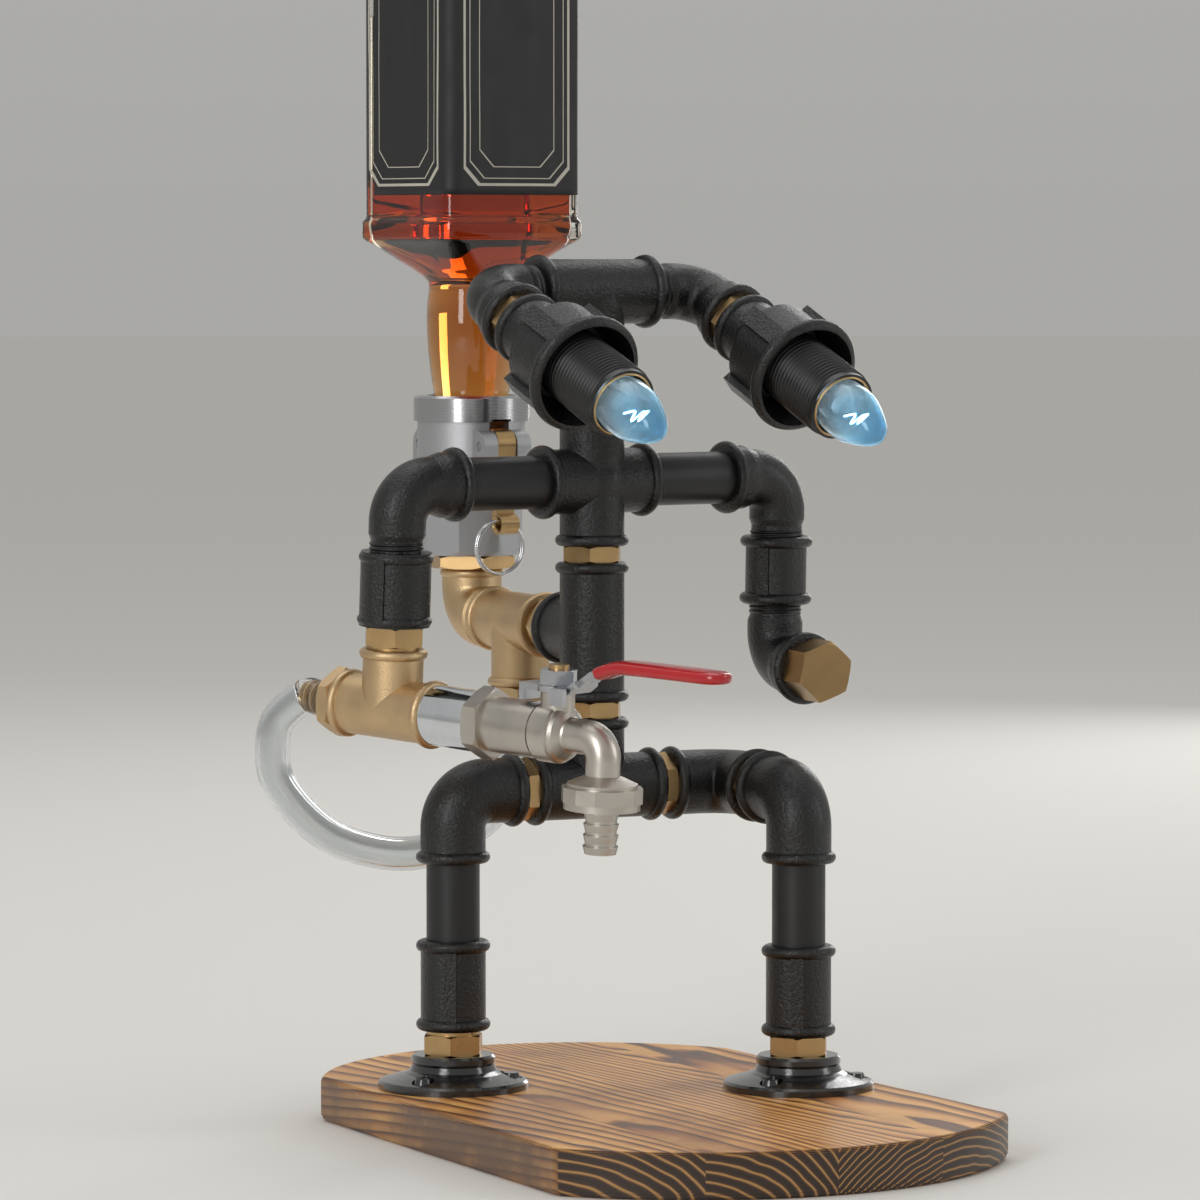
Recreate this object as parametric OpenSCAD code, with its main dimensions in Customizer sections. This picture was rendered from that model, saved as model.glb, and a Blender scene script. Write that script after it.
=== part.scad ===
/* [Board] */
// width of the board half-way along its straight sides
board_width = 193; // [150:1:260]
// length from the back arc to the front arc
board_length = 320; // [260:1:420]
// thickness of the glued panel
board_thick = 18; // [14:0.5:30]
// lean of each straight side towards the back, in degrees
board_taper = 1.4; // [0:0.2:5]
// turn of the board under the figure, in degrees
board_turn = 2; // [-6:0.5:6]
// radius of the front arc
board_front_r = 125; // [110:1:300]
// radius of the back arc
board_back_r = 106; // [98:1:300]
// rounding of the front left corner
board_left_corner = 8; // [6:1:40]
// rounding of the front right corner
board_right_corner = 14; // [6:1:60]
// rounding along the top edge
board_round = 2; // [0.5:0.25:5]
// rounding along the lower edge
board_under = 4; // [1:0.25:6]
// spine of the figure behind the middle of the board
spine_y = 50; // [20:1:80]

/* [Floor flanges] */
// diameter of the flange's plate
flange_d = 60; // [52:0.5:75]
// thickness of the plate at its edge
flange_edge = 3.4; // [2.5:0.1:6]
// thickness of the plate at its hub
flange_root = 6; // [4:0.1:9]
// diameter of the hub
flange_hub_d = 33.6; // [30:0.2:40]
// height of the whole flange
flange_height = 13.5; // [13:0.5:24]
// circle on which the screws sit
flange_screw_circle = 46; // [40:0.5:56]
// shank of the wood screw
screw_d = 4; // [3:0.1:5]
// head of the wood screw
screw_head_d = 7.6; // [6:0.1:9]
// height of the screw head
screw_head_h = 2.6; // [1.5:0.1:4]
// depth of the screw in the wood
screw_depth = 12; // [8:0.5:14]

/* [Iron fittings] */
// outside diameter of a fitting's body
iron_body_d = 26; // [24:0.2:29]
// diameter over the rolled bead at a mouth
iron_bead_d = 29.6; // [27:0.2:34]
// width of the bead
iron_bead_w = 4.6; // [3:0.2:7]
// centre of an elbow, tee or cross to its mouth
iron_reach = 28; // [26:0.5:36]
// inside radius of an elbow's bend
iron_bend_in = 1; // [0.4:0.1:3]
// centre of the cross to its mouth
cross_reach = 26; // [25:0.5:36]
// clear way through a fitting
iron_bore_d = 15; // [10:0.5:17]
// swelling of a cross at its middle
cross_swell = 2.4; // [0:0.2:5]
// thread over its crests
thread_d = 20.8; // [20:0.1:21.2]
// length of thread inside a mouth
thread_in = 12; // [8:0.5:14]
// play between a thread and its mouth, on each side
thread_gap = 0.1; // [0.05:0.05:0.2]
// centre of a male and female elbow to the mouth that its thread enters
street_reach = 25.8; // [22:0.1:32]
// the same at the head's tee
brow_reach = 24.4; // [22:0.1:32]
// the same along the free arm
free_reach = 24.4; // [22:0.1:32]
// outside diameter of such an elbow at its bend
street_body_d = 22.6; // [22:0.2:26]
// bare thread left showing on such an elbow
street_bare = 4.5; // [1:0.5:8]

/* [Pipes and sockets] */
// outside diameter of the pipe
pipe_d = 21.3; // [21.2:0.1:22]
// bore of the pipe
pipe_bore_d = 16; // [12:0.5:17]
// pipe showing on the left leg
leg_pipe_show = 30.8; // [15:0.5:80]
// pipe showing on a shoulder
shoulder_pipe_show = 37.5; // [15:0.5:80]
// pipe showing at the neck
neck_pipe_show = 21.8; // [12:0.5:60]
// length of a leg's socket
leg_socket_length = 36; // [30:0.5:50]
// length of the socket on the tap's arm
arm_socket_length = 29.3; // [26:0.1:50]
// length of the socket on the free arm
free_socket_length = 28; // [26:0.1:50]
// outside diameter of the thick socket on the tap's arm
thick_socket_d = 28; // [26:0.2:30]
// width of the two ribs along a socket
socket_rib_w = 5; // [2:0.5:10]
// height of those ribs
socket_rib_h = 0.8; // [0.3:0.1:2]

/* [Brass nipples] */
// hexagon across its flats
nipple_flats = 22; // [21:0.5:26]
// longest hexagon
nipple_hex = 8; // [4:0.5:10]
// way through a nipple
nipple_bore_d = 14; // [8:0.5:16]
// space between two fittings of the spine
spine_space = 6.4; // [5.5:0.1:14]
// space between the spine's tee and the brass tee behind it
back_space = 13; // [8:0.5:20]
// space between two fittings of the hips
hip_space = 5.5; // [5.5:0.1:14]
// how much further the right leg's socket is screwed down
leg_settle = 2; // [0:0.1:3]
// space between the left floor flange and its socket
ankle_space = 9.7; // [5.5:0.1:14]
// space between the arm's socket and its brass tee
wrist_space = 9; // [5.5:0.1:14]
// space between an eye's elbow and its reducing socket
eye_space = 5.5; // [5.5:0.1:14]

/* [Pose of the figure] */
// turn of the shoulders and head from the hips, in degrees
torso_twist = 8; // [-15:1:20]
// swing of the tap's arm to the back, in degrees
arm_swing = 3.5; // [0:0.5:8]
// swing of the free arm to the back, in degrees
free_swing = 1.5; // [0:0.5:8]
// turn of the tap towards the middle, in degrees
tap_heading = 16; // [0:1:25]
// dip of the left eye below level, in degrees
left_eye_dip = 23; // [0:0.5:45]
// dip of the right eye below level, in degrees
right_eye_dip = 24.5; // [0:0.5:45]
// turn of the free hand towards the middle, in degrees
hand_turn = 6.5; // [0:0.5:20]
// turn of the bottle's holder, in degrees
holder_turn = 6; // [0:1:12]
// turn of the bottle, in degrees
bottle_turn = 9; // [0:1:20]

/* [Brass fittings] */
// outside diameter of the brass elbow
elbow_body_d = 25; // [24:0.2:26]
// outside diameter of a brass body
brass_body_d = 24; // [23:0.2:28]
// diameter over a brass collar
brass_bead_d = 27; // [25:0.2:31]
// width of a brass collar
brass_bead_w = 4; // [3:0.2:6]
// centre of the arm's brass tee to its mouth
brass_reach = 24; // [23:0.5:32]
// centre of the brass tee at the back to its mouth
back_reach = 26.5; // [23:0.5:32]
// bare thread left on the brass elbow
elbow_bare = 1.5; // [0.5:0.5:4]
// centre of the brass elbow to its upper mouth
elbow_rise = 20; // [18:0.5:32]
// centre of the brass elbow to the tee that it enters
elbow_run = 21; // [18:0.5:40]
// inside radius of the brass elbow's bend
elbow_bend_in = 0.7; // [0.4:0.1:1.5]
// hexagon of a hose tail across its flats
tail_flats = 24; // [22:0.5:28]
// length of that hexagon
tail_hex = 5.5; // [4:0.5:9]
// length of a hose tail
tail_length = 16; // [14:1:34]
// diameter over the barbs of a hose tail
tail_barb_d = 9.6; // [7:0.1:9.8]
// way through a hose tail
tail_bore_d = 6.4; // [4:0.1:7]
// head of the plug in the free hand across its flats
plug_flats = 22; // [20:0.5:27]
// length of the plug's head
plug_head = 15; // [6:0.5:16]

/* [Tap] */
// length of the plated extension
extension_show = 23; // [15:0.5:40]
// diameter of the plated extension
extension_d = 24; // [23.4:0.2:28]
// hexagon of the tap across its flats
tap_flats = 25; // [23.5:0.5:30]
// length of that hexagon
tap_hex = 7.5; // [5:0.5:12]
// diameter of the tap's barrel
barrel_d = 22; // [20:0.2:23]
// length of the barrel in front of the hexagon
barrel_length = 25; // [15:0.5:40]
// diameter of the housing round the ball
housing_d = 23.4; // [22.4:0.2:30]
// length of the housing
housing_length = 12; // [11.5:0.5:18]
// diameter of the ball
ball_d = 14; // [12:0.2:15]
// way through the ball and the barrel
ball_bore_d = 8.4; // [6:0.2:9]
// diameter of the collar round the stem
boss_d = 13.2; // [11:0.2:16]
// top of that collar above the tap's axis
boss_top = 16; // [15:0.5:24]
// diameter of the stem
stem_d = 8; // [6:0.1:9]
// play between the stem and its collar
stem_gap = 0.08; // [0.03:0.01:0.1]
// outside diameter of the spout
spout_d = 13.6; // [12:0.2:18]
// way through the spout
spout_bore_d = 9; // [6:0.2:11]
// front of the housing to the axis of the spout's drop
spout_out = 17.8; // [15:0.2:30]
// inside radius of the spout's bend
spout_bend_in = 1.2; // [0.6:0.1:4]
// axis of the tap to the top of the union
spout_drop = 16.8; // [14:0.2:40]
// diameter of the union nut
union_d = 30.6; // [27:0.2:36]
// height of the union nut's grip
union_grip = 5.9; // [4:0.1:12]
// height of the plain ring under the grip
union_ring = 2.7; // [2.5:0.1:6]
// length of the spout's hose tail below the union
nozzle_length = 17.3; // [10:0.1:40]
// diameter over the ribs of that tail
nozzle_d = 13.6; // [12:0.1:14]
// bore of that tail
nozzle_bore_d = 9; // [6:0.2:10]

/* [Tap lever] */
// thickness of the lever's plate
lever_thick = 2.4; // [1.5:0.1:4]
// gap between the lever's plate and the boss under it
lever_gap = 0.3; // [0.2:0.1:0.6]
// width of the plate at the stem
lever_width = 16; // [14:0.5:22]
// width of the plate inside the grip
lever_neck = 9; // [6:0.5:12]
// stem to the end of the grip
lever_length = 83; // [60:1:120]
// rise of the grip above the plate
lever_rise = 11.5; // [6:0.5:20]
// stem to the stop at the back
lever_stop = 15.5; // [14:0.5:18]
// length of the stop's leg below the plate
lever_stop_leg = 4.4; // [3:0.2:6]
// width of the dipped grip
grip_width = 14; // [12:0.5:20]
// thickness of the dipped grip
grip_thick = 5.4; // [4.4:0.2:9]
// nut on the stem across its flats
lever_nut_flats = 13; // [12:0.5:17]
// height of that nut
lever_nut_h = 6; // [4:0.5:8]

/* [Bottle holder] */
// octagon of the holder across its flats
holder_flats = 40; // [38:0.5:46]
// height of the octagon
holder_octagon = 22; // [16:0.5:26]
// diameter of the cast body
holder_body_d = 45.4; // [44:0.2:52]
// diameter of the turned band at the mouth
holder_band_d = 48.6; // [46:0.2:56]
// height of the turned band
holder_band_h = 10.6; // [8:0.2:14]
// height of the whole holder
holder_height = 66.6; // [60:0.2:80]
// bore that takes the bottle's neck
holder_bore_d = 37; // [36:0.2:39]
// floor of that bore above the holder's foot
holder_floor = 20; // [17:0.5:24]
// thickness of the rubber seal on that floor
seal_thick = 4; // [2:0.5:6]
// foot of the holder to the cam pins
pin_height = 46; // [42:0.5:50]
// axis of the holder to a cam pin
pin_out = 25; // [24.5:0.1:28]
// diameter of a cam pin
pin_d = 4.2; // [3:0.1:5]
// play between a pin and its cam lever
pin_gap = 0.08; // [0.03:0.01:0.1]
// width of the cut for a cam lever
cam_cut = 9.4; // [9:0.1:11]
// width of a cam lever
cam_width = 8.6; // [7:0.1:8.8]
// thickness of an ear beside the cam lever
ear_thick = 6.6; // [4:0.2:8]
// rounding of an ear
ear_r = 6.4; // [4:0.2:8]
// ear standing out beyond the pin
ear_out = 4.4; // [3:0.2:6]
// radius of a cam's head
cam_r = 6.4; // [5.6:0.1:6.8]
// length of a cam lever below its pin
cam_length = 32.4; // [28:0.2:40]
// thickness of a cam lever's arm
cam_arm = 3.8; // [3:0.1:5]
// diameter of the cam lever's eye
cam_eye_d = 8.4; // [7.6:0.1:10]
// hole in that eye
cam_hole_d = 5.4; // [5.2:0.1:5.6]
// chamfer at each end of that hole
cam_chamfer = 1; // [0.8:0.1:1.2]
// centre-line radius of a pull ring
ring_r = 11; // [10:0.2:16]
// turn of a pull ring where it hangs, in degrees
ring_lean = 16; // [0:1:17]
// wire of a pull ring
ring_wire = 1.5; // [1.2:0.1:1.8]
// flats of the reducing nipple under the holder
bush_flats = 32; // [30:0.5:36]
// height of that hexagon
bush_hex = 5.6; // [4:0.2:9]
// thread of the reducing nipple inside the holder
bush_thread_d = 29.6; // [28:0.1:31]
// length of that thread
bush_thread_in = 13; // [9:0.5:15]
// length of its thread in the brass elbow
bush_in = 10; // [7:0.5:12]

/* [Bottle] */
// side of the square bottle
bottle_side = 67; // [58:0.5:84]
// cut across each corner
bottle_corner = 5.8; // [3:0.2:10]
// length of the square part
bottle_body = 136; // [80:1:190]
// height of the ridge below the square part
bottle_ridge_h = 9.2; // [5:0.2:16]
// how far the ridge stands out
bottle_ridge = 1.6; // [0.5:0.1:3]
// height of the slope between the ridge and the neck
bottle_slope = 16.5; // [10:0.5:30]
// length of the neck with its mouth
bottle_neck = 90; // [80:1:110]
// diameter of the mouth
bottle_mouth_d = 27.6; // [26:0.1:28.6]
// diameter of the neck at the slope
bottle_neck_d = 37; // [31:0.5:44]
// height of the band at the mouth
bottle_band_h = 13; // [8:0.5:20]
// mouth to the end of the neck's slim part
bottle_slim_h = 36; // [28:0.5:44]
// mouth to the widest part of the neck
bottle_swell_h = 74; // [60:0.5:78]
// how far the widest part stands out from the neck at the slope
bottle_swell = 0.4; // [0:0.1:1]
// way through the neck
bottle_bore_d = 19; // [15:0.5:22]
// thickness of the glass
bottle_wall = 3.6; // [2.5:0.1:6]
// thickness of the bottle's bottom
bottle_bottom = 7; // [4:0.5:12]
// space between the mouth and the seal
bottle_gap = 0.3; // [0.2:0.1:0.5]

/* [Eyes] */
// length of a reducing socket
cup_length = 48; // [44:0.5:60]
// outside diameter of its wide part
cup_d = 40; // [38:0.5:46]
// diameter over its wide bead
cup_bead_d = 48; // [43:0.5:54]
// width of its wide bead
cup_bead_w = 6; // [4:0.2:9]
// bore of its wide part
cup_bore_d = 33.4; // [30:0.2:35]
// depth of that bore
cup_depth = 18; // [12:0.5:22]
// diameter of its flared rim inside
cup_rim_d = 42; // [36:0.5:43]
// depth of the flare
cup_flare = 9; // [4:0.5:11]
// diameter of a lamp holder
holder_lamp_d = 28; // [26.6:0.2:29]
// length of a lamp holder
holder_lamp_length = 44; // [36:0.5:54]
// diameter of a bulb
bulb_d = 23; // [20:0.2:23.4]
// bulb showing in front of its holder
bulb_show = 27.5; // [20:0.5:45]
// thickness of a bulb's glass
bulb_wall = 0.8; // [0.5:0.1:1.4]
// cap of a bulb
bulb_cap_d = 14; // [12:0.2:14.6]

/* [Hose] */
// outside diameter of the clear hose
hose_d = 14; // [13:0.2:16]
// bore of the clear hose
hose_bore_d = 10.4; // [10.2:0.1:11]

/* [Hidden] */
$fn = 64;

black = [0.09, 0.09, 0.1];
brass = [0.78, 0.6, 0.32];
steel = [0.75, 0.76, 0.78];
nickel = [0.78, 0.76, 0.73];
mouth_d = thread_d + 2 * thread_gap;
mouth_depth = thread_in + 1;

hip_step = 2 * iron_reach + hip_space;
shoulder_step = cross_reach + iron_reach + shoulder_pipe_show;
flange_top = board_thick + flange_height;
leg_socket_z = flange_top + ankle_space;
leg_pipe_z = leg_socket_z + leg_socket_length;
hip_z = leg_pipe_z + leg_pipe_show + iron_reach;
spine_z = hip_z + 2 * iron_reach + spine_space;
shoulder_z = spine_z + iron_reach + spine_space + cross_reach;
head_z = shoulder_z + cross_reach + neck_pipe_show + iron_reach;
eye_x = iron_reach + brow_reach;
back_tee_y = iron_reach + back_space + back_reach;
back_elbow_y = back_tee_y + back_reach + elbow_run;
bush_z = spine_z + elbow_rise;
holder_z = bush_z + bush_hex;
mouth_z = holder_floor + seal_thick + bottle_gap;
arm_drop = street_reach + arm_socket_length + wrist_space + brass_reach;
hand_drop = 2 * free_reach + free_socket_length;
inlet_x = brass_reach + extension_show;
barrel_x = inlet_x + tap_hex;
iron_bend_r = iron_body_d / 2 + iron_bend_in;
elbow_bend_r = elbow_body_d / 2 + elbow_bend_in;
spout_bend_r = spout_d / 2 + spout_bend_in;
housing_x = barrel_x + barrel_length;
ball_x = housing_x + housing_length / 2;
housing_end = housing_x + housing_length;
spout_x = housing_end + spout_out;
union_z = -spout_drop - 1.4;
plate_z = boss_top + lever_gap;
leg_places = [[-hip_step, 0, 0], [hip_step, -hip_step, leg_settle]];

module at_hips() {
  translate([0, spine_y, 0]) children();
}

module at_torso() {
  translate([0, spine_y, 0]) rotate([0, 0, torso_twist]) children();
}

module at_arm(side) {
  swing = side < 0 ? arm_swing : free_swing;
  at_torso() translate([side * shoulder_step, 0, shoulder_z]) rotate([swing, 0, 0]) children();
}

module at_tap() {
  at_arm(-1) translate([0, 0, -arm_drop]) rotate([0, 0, tap_heading - 90]) children();
}

module at_stem() {
  at_tap() translate([ball_x, 0, 0]) children();
}

function eye_dip(side) = side < 0 ? left_eye_dip : right_eye_dip;

module at_eye(side) {
  at_torso() translate([side * eye_x, 0, head_z]) rotate([90 + eye_dip(side), 0, 0]) children();
}

module at_lamp(side) {
  at_eye(side) translate([0, 0, iron_reach + eye_space + cup_length - cup_depth]) children();
}

module at_back(z) {
  translate([0, spine_y + back_elbow_y, z]) children();
}

module at_holder() {
  at_back(holder_z) rotate([0, 0, holder_turn]) children();
}

module at_cam(side) {
  at_holder() rotate([0, 0, side < 0 ? 0 : 180]) translate([0, -pin_out, pin_height]) children();
}

module to_x() {
  rotate([0, 90, 0]) children();
}

module bead(d, w) {
  rotate_extrude() {
    translate([0, -w / 2]) square([d / 2 - w / 2, w]);
    translate([d / 2 - w / 2, 0]) circle(d = w);
  }
}

module tube(d, bore, length) {
  difference() {
    cylinder(d = d, h = length);
    translate([0, 0, -1]) cylinder(d = bore, h = length + 2);
  }
}

module hexagon(flats, h) {
  intersection() {
    cylinder(d = flats / cos(30), h = h, $fn = 6);
    union() {
      cylinder(d1 = flats + 0.6, d2 = flats + 0.6 + 2 * h, h = h / 2);
      translate([0, 0, h / 2]) cylinder(d1 = flats + 0.6 + 2 * h, d2 = flats + 0.6, h = h / 2);
    }
  }
}

module arm(d, bead_d, bead_w, start, end) {
  translate([0, 0, start]) cylinder(d = d, h = end - start - bead_w / 2);
  translate([0, 0, end - bead_w / 2]) bead(bead_d, bead_w);
}

module iron_arm(start, end) {
  arm(iron_body_d, iron_bead_d, iron_bead_w, start, end);
}

module mouth(end, bore, start) {
  translate([0, 0, end - mouth_depth]) cylinder(d = mouth_d, h = mouth_depth + 1);
  translate([0, 0, start]) cylinder(d = bore, h = end - start);
}

module bend(r, d) {
  translate([r, 0, r]) rotate([90, 0, 0]) rotate([0, 0, 180]) rotate_extrude(angle = 90) {
    translate([r, 0]) circle(d = d);
  }
}

module iron_elbow() {
  difference() {
    union() {
      bend(iron_bend_r, iron_body_d);
      iron_arm(iron_bend_r, iron_reach);
      to_x() iron_arm(iron_bend_r, iron_reach);
    }
    bend(iron_bend_r, iron_bore_d);
    mouth(iron_reach, iron_bore_d, iron_bend_r);
    to_x() mouth(iron_reach, iron_bore_d, iron_bend_r);
  }
}

module male_end(body_d, start, enter, bare) {
  translate([0, 0, start]) cylinder(d = body_d, h = enter - bare - 2.4 - start);
  translate([0, 0, enter - bare - 2.4]) cylinder(d1 = body_d, d2 = thread_d, h = 2.4);
  translate([0, 0, enter - bare]) cylinder(d = thread_d, h = bare + thread_in);
}

module street_elbow(reach) {
  difference() {
    union() {
      bend(iron_bend_r, street_body_d);
      male_end(street_body_d, iron_bend_r, reach, street_bare);
      to_x() iron_arm(iron_bend_r + 5, iron_reach);
      to_x() translate([0, 0, iron_bend_r]) cylinder(d1 = street_body_d, d2 = iron_body_d, h = 5);
    }
    bend(iron_bend_r, iron_bore_d);
    translate([0, 0, iron_bend_r]) cylinder(d = iron_bore_d, h = reach + thread_in);
    to_x() mouth(iron_reach, iron_bore_d, iron_bend_r);
  }
}

module iron_tee() {
  difference() {
    union() {
      sphere(d = iron_body_d);
      iron_arm(0, iron_reach);
      to_x() iron_arm(0, iron_reach);
      rotate([0, -90, 0]) iron_arm(0, iron_reach);
    }
    mouth(iron_reach, iron_bore_d, 0);
    to_x() mouth(iron_reach, iron_bore_d, 0);
    rotate([0, -90, 0]) mouth(iron_reach, iron_bore_d, 0);
  }
}

module iron_cross() {
  difference() {
    union() {
      sphere(d = iron_body_d + cross_swell);
      for (turn = [0 : 90 : 270]) {
        rotate([0, turn, 0]) iron_arm(0, cross_reach);
      }
    }
    for (turn = [0 : 90 : 270]) {
      rotate([0, turn, 0]) mouth(cross_reach, iron_bore_d, 0);
    }
  }
}

module brass_arm(end) {
  arm(brass_body_d, brass_bead_d, brass_bead_w, 0, end);
}

module brass_tee(reach) {
  difference() {
    union() {
      brass_arm(reach);
      to_x() brass_arm(reach);
      rotate([0, -90, 0]) brass_arm(reach);
    }
    mouth(reach, nipple_bore_d, 0);
    to_x() mouth(reach, nipple_bore_d, 0);
    rotate([0, -90, 0]) mouth(reach, nipple_bore_d, 0);
  }
}

module brass_elbow() {
  difference() {
    union() {
      bend(elbow_bend_r, elbow_body_d);
      male_end(elbow_body_d, elbow_bend_r, elbow_run, elbow_bare);
      to_x() translate([0, 0, elbow_bend_r])
        cylinder(d = elbow_body_d, h = elbow_rise - elbow_bend_r - brass_bead_w / 2);
      to_x() translate([0, 0, elbow_rise - brass_bead_w / 2]) bead(elbow_body_d + 1.6, brass_bead_w);
    }
    bend(elbow_bend_r, nipple_bore_d);
    translate([0, 0, elbow_bend_r]) cylinder(d = nipple_bore_d, h = elbow_run + thread_in);
    to_x() translate([0, 0, elbow_rise - bush_in]) cylinder(d = mouth_d, h = bush_in + 1);
    to_x() translate([0, 0, elbow_bend_r]) cylinder(d = nipple_bore_d, h = elbow_rise);
  }
}

module nipple(space) {
  difference() {
    union() {
      hexagon(nipple_flats, min(space, nipple_hex));
      translate([0, 0, -thread_in]) cylinder(d = thread_d, h = 2 * thread_in + space);
    }
    translate([0, 0, -thread_in - 1]) cylinder(d = nipple_bore_d, h = 2 * thread_in + space + 2);
  }
}

module pipe(show) {
  difference() {
    union() {
      cylinder(d = pipe_d, h = show);
      translate([0, 0, -thread_in]) cylinder(d = thread_d, h = 2 * thread_in + show);
    }
    translate([0, 0, -thread_in - 1]) cylinder(d = pipe_bore_d, h = 2 * thread_in + show + 2);
  }
}

module socket(length, d) {
  difference() {
    union() {
      cylinder(d = d, h = length);
      translate([0, 0, iron_bead_w / 2]) bead(iron_bead_d, iron_bead_w);
      translate([0, 0, length - iron_bead_w / 2]) bead(iron_bead_d, iron_bead_w);
      translate([-d / 2 - socket_rib_h, -socket_rib_w / 2, iron_bead_w / 2])
        cube([d + 2 * socket_rib_h, socket_rib_w, length - iron_bead_w]);
    }
    translate([0, 0, -1]) cylinder(d = mouth_d, h = length + 2);
  }
}

module floor_flange(place) {
  at_hips() translate([place[0], place[1], board_thick]) difference() {
    rotate_extrude() polygon([
      [0, 0],
      [flange_d / 2, 0],
      [flange_d / 2, flange_edge - 1],
      [flange_d / 2 - 1, flange_edge],
      [flange_hub_d / 2 + 3, flange_root],
      [flange_hub_d / 2 + 0.6, flange_root + 1.2],
      [flange_hub_d / 2 - 0.4, flange_height - 4],
      [flange_hub_d / 2, flange_height - 3],
      [flange_hub_d / 2, flange_height - 1],
      [flange_hub_d / 2 - 1, flange_height],
      [0, flange_height]]);
    translate([0, 0, -1]) cylinder(d = mouth_d, h = flange_height + 2);
    screw_places() translate([0, 0, -1]) cylinder(d = screw_d + 1, h = flange_height);
    screw_places() translate([0, 0, flange_edge]) cylinder(d = screw_head_d + 1.4, h = flange_height);
  }
}

module screw_places() {
  for (turn = [-26, 94, 214]) {
    rotate([0, 0, turn]) translate([flange_screw_circle / 2, 0, 0]) children();
  }
}

module base_board() {
  color([0.3, 0.19, 0.1]) rotate([0, 0, board_turn]) difference() {
    union() {
      translate([0, 0, board_under])
        linear_extrude(height = board_thick - board_under - board_round) board_outline(0);
      translate([0, 0, board_under]) mirror([0, 0, 1]) board_edge(board_under);
      translate([0, 0, board_thick - board_round]) board_edge(board_round);
    }
    rotate([0, 0, -board_turn]) at_hips() for (place = leg_places) {
      translate([place[0], place[1], board_thick - screw_depth - 1]) screw_places()
        cylinder(d = screw_d + 0.1, h = screw_depth + 2);
    }
  }
}

module board_edge(r) {
  for (turn = [0 : 22.5 : 67.5]) {
    translate([0, 0, -1])
      linear_extrude(height = 1 + r * sin(turn + 22.5)) board_outline(r * (1 - cos(turn + 11.25)));
  }
}

module board_outline(inset) {
  lean = board_length / 2;
  intersection() {
    union() {
      translate([0, board_front_r - lean]) circle(r = board_front_r - inset);
      translate([-board_length, board_front_r - lean]) square(2 * board_length);
    }
    union() {
      translate([0, lean - board_back_r]) circle(r = board_back_r - inset);
      translate([-board_length, lean - board_back_r - 2 * board_length]) square(2 * board_length);
    }
    board_side(1, board_right_corner, inset);
    board_side(-1, board_left_corner, inset);
  }
}

module board_side(side, r, inset) {
  arc = board_front_r;
  lean = arc - board_length / 2;
  arc_x = lean * sin(board_taper);
  arc_y = lean * cos(board_taper);
  inner = r - 0.15;
  x = board_width / 2 - inner;
  y = arc_y - sqrt(pow(arc - inner, 2) - pow(x - arc_x, 2));
  turn = atan2(x - arc_x, arc_y - y);
  mirror([side < 0 ? 1 : 0, 0]) rotate(board_taper) {
    translate([x, y]) circle(r = r - inset);
    translate([board_width / 2 - inset - 4 * arc, y]) square([4 * arc, 4 * arc]);
    translate([x, y]) rotate(turn) translate([-4 * arc, -4 * arc]) square([4 * arc, 8 * arc]);
  }
}

module left_floor_flange() {
  color(black) floor_flange(leg_places[0]);
}

module right_floor_flange() {
  color(black) floor_flange(leg_places[1]);
}

module flange_screws() {
  color(black) at_hips() for (place = leg_places) {
    translate([place[0], place[1], board_thick + flange_edge]) screw_places() {
      translate([0, 0, -flange_edge - screw_depth]) cylinder(d = screw_d, h = flange_edge + screw_depth);
      cylinder(d1 = screw_head_d, d2 = screw_head_d - 1.6, h = screw_head_h);
    }
  }
}

module ankle_nipples() {
  color(brass) at_hips() for (place = leg_places) {
    translate([place[0], place[1], flange_top]) nipple(ankle_space - place[2]);
  }
}

module leg_sockets() {
  color(black) at_hips() for (place = leg_places) {
    translate([place[0], place[1], leg_socket_z - place[2]])
      rotate([0, 0, 60]) socket(leg_socket_length, iron_body_d);
  }
}

module leg_pipes() {
  color(black) at_hips() for (place = leg_places) {
    translate([place[0], place[1], leg_pipe_z - place[2]]) pipe(leg_pipe_show + place[2]);
  }
}

module left_hip_elbow() {
  color(black) at_hips() translate([-hip_step, 0, hip_z]) rotate([180, 0, 0]) iron_elbow();
}

module right_hip_elbow() {
  color(black) at_hips() translate([hip_step, -hip_step, hip_z])
    rotate([0, 0, 90]) rotate([180, 0, 0]) iron_elbow();
}

module stride_elbow() {
  color(black) at_hips() translate([hip_step, 0, hip_z])
    rotate([0, 180, 0]) rotate([90, 0, 0]) iron_elbow();
}

module hip_nipples() {
  color(brass) at_hips() {
    translate([-iron_reach, 0, hip_z]) rotate([0, -90, 0]) nipple(hip_space);
    translate([iron_reach, 0, hip_z]) rotate([0, 90, 0]) nipple(hip_space);
    translate([hip_step, -iron_reach, hip_z]) rotate([90, 0, 0]) nipple(hip_space);
  }
}

module hip_tee() {
  color(black) at_hips() translate([0, 0, hip_z]) iron_tee();
}

module spine_nipples() {
  color(brass) at_hips() {
    translate([0, 0, hip_z + iron_reach]) nipple(spine_space);
    translate([0, 0, spine_z + iron_reach]) nipple(spine_space);
    translate([0, iron_reach, spine_z]) rotate([-90, 0, 0]) nipple(back_space);
  }
}

module spine_tee() {
  color(black) at_hips() translate([0, 0, spine_z]) rotate([-90, 0, 0]) rotate([0, 0, 90]) iron_tee();
}

module shoulder_cross() {
  color(black) at_torso() translate([0, 0, shoulder_z]) iron_cross();
}

module neck_pipe() {
  color(black) at_torso() translate([0, 0, shoulder_z + cross_reach]) pipe(neck_pipe_show);
}

module head_tee() {
  color(black) at_torso() translate([0, 0, head_z]) rotate([180, 0, 0]) iron_tee();
}

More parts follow.
